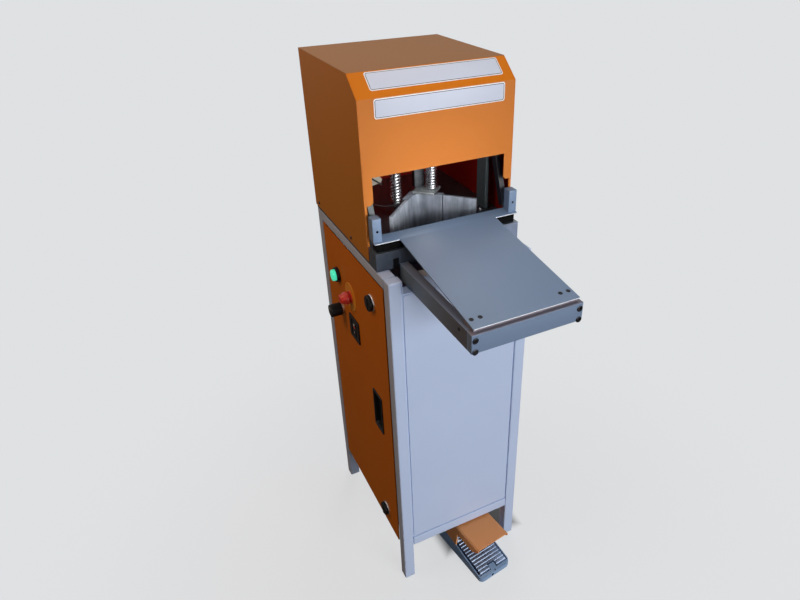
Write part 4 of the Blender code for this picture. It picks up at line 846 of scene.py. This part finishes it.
make("bar_side_screws", side_screws, OXIDE)
screws("block_screws", (0.0045, 0.004, 0.002), [(side * 0.1375, 0.165, BLOCK_TOP) for side in SIDES],
       RIGHT, UP, BRIGHT)
# A near-black patch: painted shade in the notch of the block's front.
notch = slab(rounded(rectangle(0.0135, 0.0235), 0.001), 0.0, 0.0003, 0.0001)
make("block_notch_shade", [posed(notch, (-0.1335, 0.062, 0.9875), RIGHT, -BACK)], NEAR_BLACK_SHADE)
print("front bar mm deep:", round((FRONT_BAR_REAR - FRONT_BAR_FACE) * 1000, 1))

# %% [markdown]
# ## Table
#
# The table is one laser-cut sheet of 3 mm steel with a narrow infeed and a strip across the full
# width behind it, so its surface is the plan outline carried through the sheet's thickness along the
# slope. Two square ears stand on the strip's ends. Below the sheet a brown-grey wedge carries it on
# the front bar and a near-black wedge, painted shade, on the block: each is its side view carried
# across the machine.

# %% Table, ears and wedges
TABLE_HALF = 0.12
STRIP_HALF = 0.179
NOTCH_Y = 0.066
TABLE_REAR_Y = 0.097
TABLE_SHEET = 0.003
TABLE_DROP = TABLE_SHEET / math.cos(TABLE_SLOPE)


def along_slope(y):
    """Distance up the slope from the table's front edge: (y - front y) / cos(slope)."""
    return (y - TABLE_FRONT[0]) / math.cos(TABLE_SLOPE)


notch_reach, rear_reach = along_slope(NOTCH_Y), along_slope(TABLE_REAR_Y)
table_plan = rounded([
    [-TABLE_HALF, 0.0], [TABLE_HALF, 0.0], [TABLE_HALF, notch_reach], [STRIP_HALF, notch_reach],
    [STRIP_HALF, rear_reach], [-STRIP_HALF, rear_reach], [-STRIP_HALF, notch_reach],
    [-TABLE_HALF, notch_reach],
], 0.0015, 4)
sheet = posed(slab(table_plan, -TABLE_SHEET, 0.0, 0.0003), on_table(0.0, TABLE_FRONT[0]), RIGHT, TABLE_OUT)
EAR_X = 0.169
EAR_Y = 0.0835
EAR_FACE = 0.072
ear_foot = on_table(0.0, EAR_FACE)[2]
ear = slab(rounded(rectangle(0.02, 0.023), 0.001), ear_foot - 0.001, ear_foot + 0.053, 0.0008)
ears = [posed(ear, (side * EAR_X, EAR_Y, 0.0), RIGHT, UP) for side in SIDES]
make("table_sheet", [sheet, *ears], TABLE_TOP, "machine", ["table_plate"])
# Near-black discs on the ears: painted shade for their holes.
ear_shade_disc = stack(turned([(0.0028, 0.0), (0.0028, 0.0002), (0.0005, 0.0002)], 24))
ear_hole_shades = [posed(ear_shade_disc, (side * EAR_X, EAR_FACE, ear_foot + 0.024), RIGHT, -BACK) for side in SIDES]
make("ear_hole_shades", ear_hole_shades, NEAR_BLACK_SHADE)


def wedge(y_low, y_high, z_low, half):
    """Side view, (y, z): flat below, 0.3 mm clear of the sloping sheet above, carried across."""
    ends = [[y, on_table(0.0, y)[2] - TABLE_DROP - 0.0003] for y in (y_high, y_low)]
    return crosswise(rounded([[y_low, z_low], [y_high, z_low], *ends], 0.0006), half)


make("front_wedge", [wedge(-0.2485, -0.2125, 0.9856, 0.118)], BROWN_GREY, "machine",
     ["table_packer"])
# Near black: painted shade in the gap under the sheet's rear.
make("near_black_rest_wedge", [wedge(0.07, 0.094, BLOCK_TOP + 0.0003, 0.173)], NEAR_BLACK_SHADE, "machine",
     ["table_rest"])
print("table plan points:", len(table_plan))

# %% [markdown]
# A thin near-white strip, a quarter of a millimetre proud, runs along the sheet's front edge and the
# edges of its two notches: a painted highlight for the light these edges catch.

# %% Painted highlights on the table's edges
def edge_strip(x_range, y_range, drop, thickness):
    """A strip `thickness` deep lying along the table's plane between two places, `drop` under its top."""
    length = (y_range[1] - y_range[0]) / math.cos(TABLE_SLOPE)
    outline = rounded(rectangle(x_range[1] - x_range[0], length), 0.00012, 3)
    part = slab(outline, -drop - thickness, -drop, 0.0001, 2)
    return posed(part, on_table(sum(x_range) / 2, sum(y_range) / 2), RIGHT, TABLE_OUT)


EDGE = 0.00025
front_y, half = TABLE_FRONT[0], TABLE_HALF - 0.0015
front_strip = edge_strip((-half, half), (front_y - EDGE, front_y + 0.001), 0.0004, 0.002)
notch_strips = [
    edge_strip(x_range, (NOTCH_Y - EDGE, NOTCH_Y + 0.0005), 0.0008, 0.0018)
    for x_range in ((0.001 - STRIP_HALF, -TABLE_HALF - 0.001), (TABLE_HALF + 0.001, STRIP_HALF - 0.001))
]
make("table_edge_highlight", [front_strip, *notch_strips], PAINTED_HIGHLIGHT)
print("table edge strips:", 1 + len(notch_strips))

# %% [markdown]
# ## Pedal details
#
# The front wall of the pedal's casting has one small round hole, painted as a near-black disc for the
# shade inside it, and a screw head painted near white for its glint sits where the tread passes under
# the guard's wall.

# %% Pedal details
wall_out = unit((0.14, -0.99, 0.0))
wall_hole_shade = stack(turned([(0.0036, -0.001), (0.0036, 0.0006), (0.0004, 0.0006)], 24))
make("pedal_hole_shade", [posed(wall_hole_shade, (0.0456, -0.1086, 0.0075), UP, wall_out)], NEAR_BLACK_SHADE)
tread_out = unit((0.03, -0.19, 0.98))
tread_side = unit(np.cross(BACK, tread_out))
tread_screw = posed(cap_screw(0.004, 0.0026, 0.0016), (-0.001, 0.0155, 0.0441), tread_side, tread_out)
# The screw head is near white: a painted glint.
make("tread_screw", [tread_screw], PAINTED_HIGHLIGHT, "tread")
print("pedal details made")

# %% [markdown]
# ## Small fittings inside the press
#
# Behind the window's left edge a beige bracket is bolted to the left column with a black stay
# across it, and a thin wire of dull steel hangs from it down towards the fence. The bracket is a
# bent outline carried along its length, and the wire is a circle swept along a straight line that
# sags by a sine.

# %% Bracket and wire
bracket_view = rounded([[0.0, 0.0], [0.034, 0.004], [0.038, 0.012], [0.026, 0.026], [0.0, 0.03]], 0.0015)
bracket = posed(slab(bracket_view, 0.0, 0.012, 0.0006), (-0.15, 0.181, 1.128), RIGHT, -BACK)
make("column_bracket", [bracket], BEIGE)
STAY_TILT = math.radians(-38.0)
stay = slab(rounded(rectangle(0.046, 0.0035), 0.001), 0.0, 0.003, 0.0003)
stay_along = (math.cos(STAY_TILT), 0.0, math.sin(STAY_TILT))
make("bracket_stay", [posed(stay, (-0.133, 0.168, 1.143), stay_along, -BACK)], BLACK)


def hanging_wire(start, end, sag, count=40):
    """Wire from start to end: the straight line between them, lowered by sag * sin(pi t)."""
    t = np.linspace(0, 1, count)[:, None]
    line = np.asarray(start) * (1 - t) + np.asarray(end) * t
    return line - np.array([0.0, 0.0, sag]) * np.sin(np.pi * t)


wire_path = hanging_wire((-0.1495, 0.17, 1.093), (-0.0745, 0.19, 1.064), 0.006)
make("guard_wire", [swept(wire_path, 0.0008, 8)], RAM)
print("bracket and wire made")

# %% [markdown]
# ## The shaft under the press
#
# Offcuts fall through the steel block under the press, so between the fences there is no floor: the
# ground faces of the fences and of the forming block run on down into a shaft. Such a shaft is
# milled through the block and the wear plates are let into it, so here the block is a plate with a
# window, and each wear plate is an outline carried from the block's foot to its top edge.

# %% Block with its shaft, and the plates in it
APEX_Y = 0.241
CORNER_RADIUS = 0.025
BLOCK_HEIGHT = 0.0425
SHAFT_MIDDLE = np.array([0.0, 0.168])
SHAFT = np.array([
    [-0.1129, 0.113], [0.1126, 0.113], [0.1126, 0.14], [0.0594, 0.2055], [0.0094, 0.2555],
    [-0.0094, 0.2555], [-0.0459, 0.219], [-0.1129, 0.141],
])
BLOCK_PLAN = np.array([[-0.18, 0.062], [0.18, 0.062], [0.18, 0.4727], [-0.18, 0.4727]])


def seen_from(middle, outline, directions):
    """Where rays m + t d leave a convex outline: t = cross(a - m, b - a) / cross(d, b - a),
    for a side from a to b, and the smallest t above 0 counts."""
    start = outline - middle
    side = np.roll(outline, -1, axis=0) - outline
    above = start[:, 0] * side[:, 1] - start[:, 1] * side[:, 0]
    below = directions[:, :1] * side[:, 1] - directions[:, 1:] * side[:, 0]
    reach = above / np.where(np.abs(below) < 1e-12, 1e-12, below)
    return middle + directions * np.where(reach > 0, reach, np.inf).min(axis=1)[:, None]


def wing_point(reach, out=0.0):
    """A place on the fence's face at a sideways reach, moved out behind the face."""
    step = out / math.sqrt(2)
    return (reach + math.copysign(step, reach), APEX_Y - abs(reach) + step)


corners = np.concatenate([SHAFT, BLOCK_PLAN]) - SHAFT_MIDDLE
turns = np.unique(np.concatenate([np.arctan2(corners[:, 1], corners[:, 0]), np.linspace(-3.1, 3.1, 60)]))
rays = np.column_stack([np.cos(turns), np.sin(turns)])
around = seen_from(SHAFT_MIDDLE, BLOCK_PLAN, rays)
within = seen_from(SHAFT_MIDDLE, SHAFT, rays)
block_low = BLOCK_TOP - BLOCK_HEIGHT
block_rings = [
    lifted(outline, height) for outline, height in
    ((around, block_low), (around, BLOCK_TOP), (within, BLOCK_TOP), (within, block_low))
]
make("block_bored", [hoop(block_rings)], BLOCK, "machine", ["base_block"])
plate_low = block_low + 0.0007
plate_high = BLOCK_TOP + 0.0445
# The left wing takes the steel with painted light, the right wing the one with painted shade.
WINGS = (("left", -0.0343, -0.107, GROUND_LIT), ("right", 0.0495, 0.107, GROUND_SHADED))
for side_name, start, end, finish in WINGS:
    plan = [wing_point(start), wing_point(end), wing_point(end, 0.008), wing_point(start, 0.008)]
    make(f"fence_{side_name}_plate", [slab(plan, plate_low, plate_high, 0.0006)], finish, "machine",
         [f"fence_{side_name}"])
hollow = arc_profile((0.0, APEX_Y - CORNER_RADIUS * math.sqrt(2)), CORNER_RADIUS, 135, 45, 19)
forming_plan = np.vstack([
    wing_point(-0.034), hollow, wing_point(0.0475), wing_point(0.0475, 0.016), (0.00884, 0.2548),
    (-0.00884, 0.2548), wing_point(-0.034, 0.016),
])
# The die takes the steel with painted shade.
make("forming_die", [slab(forming_plan, plate_low, plate_high, 0.0004)], GROUND_SHADED, "machine",
     ["forming_block"])
print("wear plates mm high:", round((plate_high - plate_low) * 1000, 1))

# %% [markdown]
# ## Light, floor and camera
#
# The machine is seen from its front left and from above, so its front takes the main light and its
# left side falls into shade. One large soft light stands far out in front. Weak ones stand above,
# warm at the left, and low behind the machine, and two small ones reach the press through the
# window. The pale surroundings do the rest. The floor is pale, with a shade painted on it only under
# the cabinet, and fades into the backdrop, so there is no horizon.

# %% Floor and backdrop
BACKDROP = "#DFE1E3"
SHADE_MIDDLE = (0.105, 0.12, 0.0)     # of the shade that the cabinet casts on the floor under itself
SHADE_HALF = (0.112, 0.2, 0.0)


def surroundings():
    """Pale world: full strength for camera, glossy and transmitted rays, a weaker one for diffuse light."""
    world = bpy.data.worlds.new("studio")
    world.use_nodes = True
    tree = world.node_tree
    tree.nodes.clear()
    path = node(tree, "LightPath").outputs
    mirrored = node(tree, "Math", {0: path["Is Glossy Ray"], 1: path["Is Transmission Ray"]},
                    operation="MAXIMUM")
    seen = node(tree, "Math", {0: path["Is Camera Ray"], 1: mirrored}, operation="MAXIMUM")
    strength = node(tree, "MapRange", {"Value": seen, "To Min": 0.13, "To Max": 1.0})
    light = node(tree, "Background", {"Color": linear(BACKDROP), "Strength": strength})
    node(tree, "OutputWorld", {"Surface": light})
    return world


bpy.context.scene.world = surroundings()


def floor_material():
    """For the camera, a matt floor that also glows near the machine, both less in the shade under it, and
    only the backdrop's colour further out. Every other ray meets a plain, darker floor."""
    material, tree, shader = blank("pale_floor")
    tree.nodes.remove(shader)
    place = node(tree, "TexCoord").outputs["Object"]
    distance = node(tree, "VectorMath", {0: place}, operation="LENGTH")
    fade = node(tree, "MapRange", {"Value": distance, "From Min": 0.35, "From Max": 1.3},
                interpolation_type="SMOOTHSTEP")
    offset = node(tree, "VectorMath", {0: place, 1: SHADE_MIDDLE}, operation="SUBTRACT")
    size = node(tree, "VectorMath", {0: offset}, operation="ABSOLUTE")
    over = node(tree, "VectorMath", {0: size, 1: SHADE_HALF}, operation="SUBTRACT")
    sides = node(tree, "SeparateXYZ", {"Vector": over}).outputs
    outside = node(tree, "Math", {0: sides["X"], 1: sides["Y"]}, operation="MAXIMUM")
    shade = node(tree, "MapRange", {"Value": outside, "From Min": -0.015, "From Max": 0.03, "To Min": 0.08,
                                    "To Max": 0.8}, interpolation_type="SMOOTHSTEP")
    lit = node(tree, "Mix", {"Factor": shade, "A": linear("#1E1A18"), "B": linear("#8C8D8E")},
               data_type="RGBA")
    matt = node(tree, "BsdfDiffuse", {"Color": lit})
    glow = node(tree, "Emission", {"Color": linear(BACKDROP), "Strength": shade})
    near = node(tree, "AddShader", {0: matt, 1: glow})
    far = node(tree, "Emission", {"Color": linear(BACKDROP), "Strength": 1.0})
    shown = node(tree, "MixShader", {0: fade, 1: near, 2: far})
    plain = node(tree, "BsdfDiffuse", {"Color": linear("#7A6E62")})
    camera_ray = node(tree, "LightPath").outputs["Is Camera Ray"]
    both = node(tree, "MixShader", {0: camera_ray, 1: plain, 2: shown})
    feed(tree, tree.nodes["Material Output"], {"Surface": both})
    return material


floor_mesh = bpy.data.meshes.new("floor")
floor_mesh.from_pydata(lifted(rectangle(12.0, 12.0), -0.0005).tolist(), [], [(0, 1, 2, 3)])
floor_mesh.materials.append(floor_material())
floor = add("floor", floor_mesh)

# %% Lights
def soft_light(name, place, aim, size, power, colour="#FFFFFF", spread=180.0):
    """A square area light at a place, aimed at a point, `size` wide, its beam `spread` degrees wide."""
    data = bpy.data.lights.new(name, "AREA")
    data.shape = "SQUARE"
    data.size = size
    data.energy = power
    data.color = linear(colour)[:3]
    data.spread = math.radians(spread)
    lamp = add(name, data)
    lamp.location = place
    direction = unit(np.subtract(aim, place))
    lamp.rotation_euler = (math.acos(-direction[2]), 0.0, math.atan2(-direction[0], direction[1]))
    return lamp


soft_light("key", (1.0, -4.2, 1.4), (0.0, 0.0, 0.8), 2.6, 142.0)
soft_light("top", (0.3, 0.4, 3.4), (0.0, 0.2, 0.9), 1.6, 16.0)
soft_light("left_fill", (-1.6, 0.3, 2.5), (-0.1, 0.1, 1.1), 0.8, 12.5, "#FFCB94")
soft_light("rear_fill", (1.8, 3.2, 0.6), (0.1, 0.1, 0.7), 1.5, 90.0)
soft_light("window_fill", (-0.1, -1.0, 1.28), (0.02, 0.25, 1.07), 0.25, 0.16, spread=30.0)
soft_light("press_fill", (0.01, 0.055, 1.205), (0.02, 0.14, 1.04), 0.07, 0.11)

# %% Camera
camera_data = bpy.data.cameras.new("camera")
camera_data.lens = 28.75
camera_data.sensor_width = 36.0
camera_data.shift_x = -0.0492
camera_data.shift_y = -0.0036
camera_data.clip_start = 0.05
camera = add("camera", camera_data)
camera.location = (-0.5884, -1.188, 1.6436)
camera.rotation_euler = (1.0272, 0.0109, -0.4745)
bpy.context.scene.camera = camera
bpy.context.scene.view_settings.view_transform = "Standard"
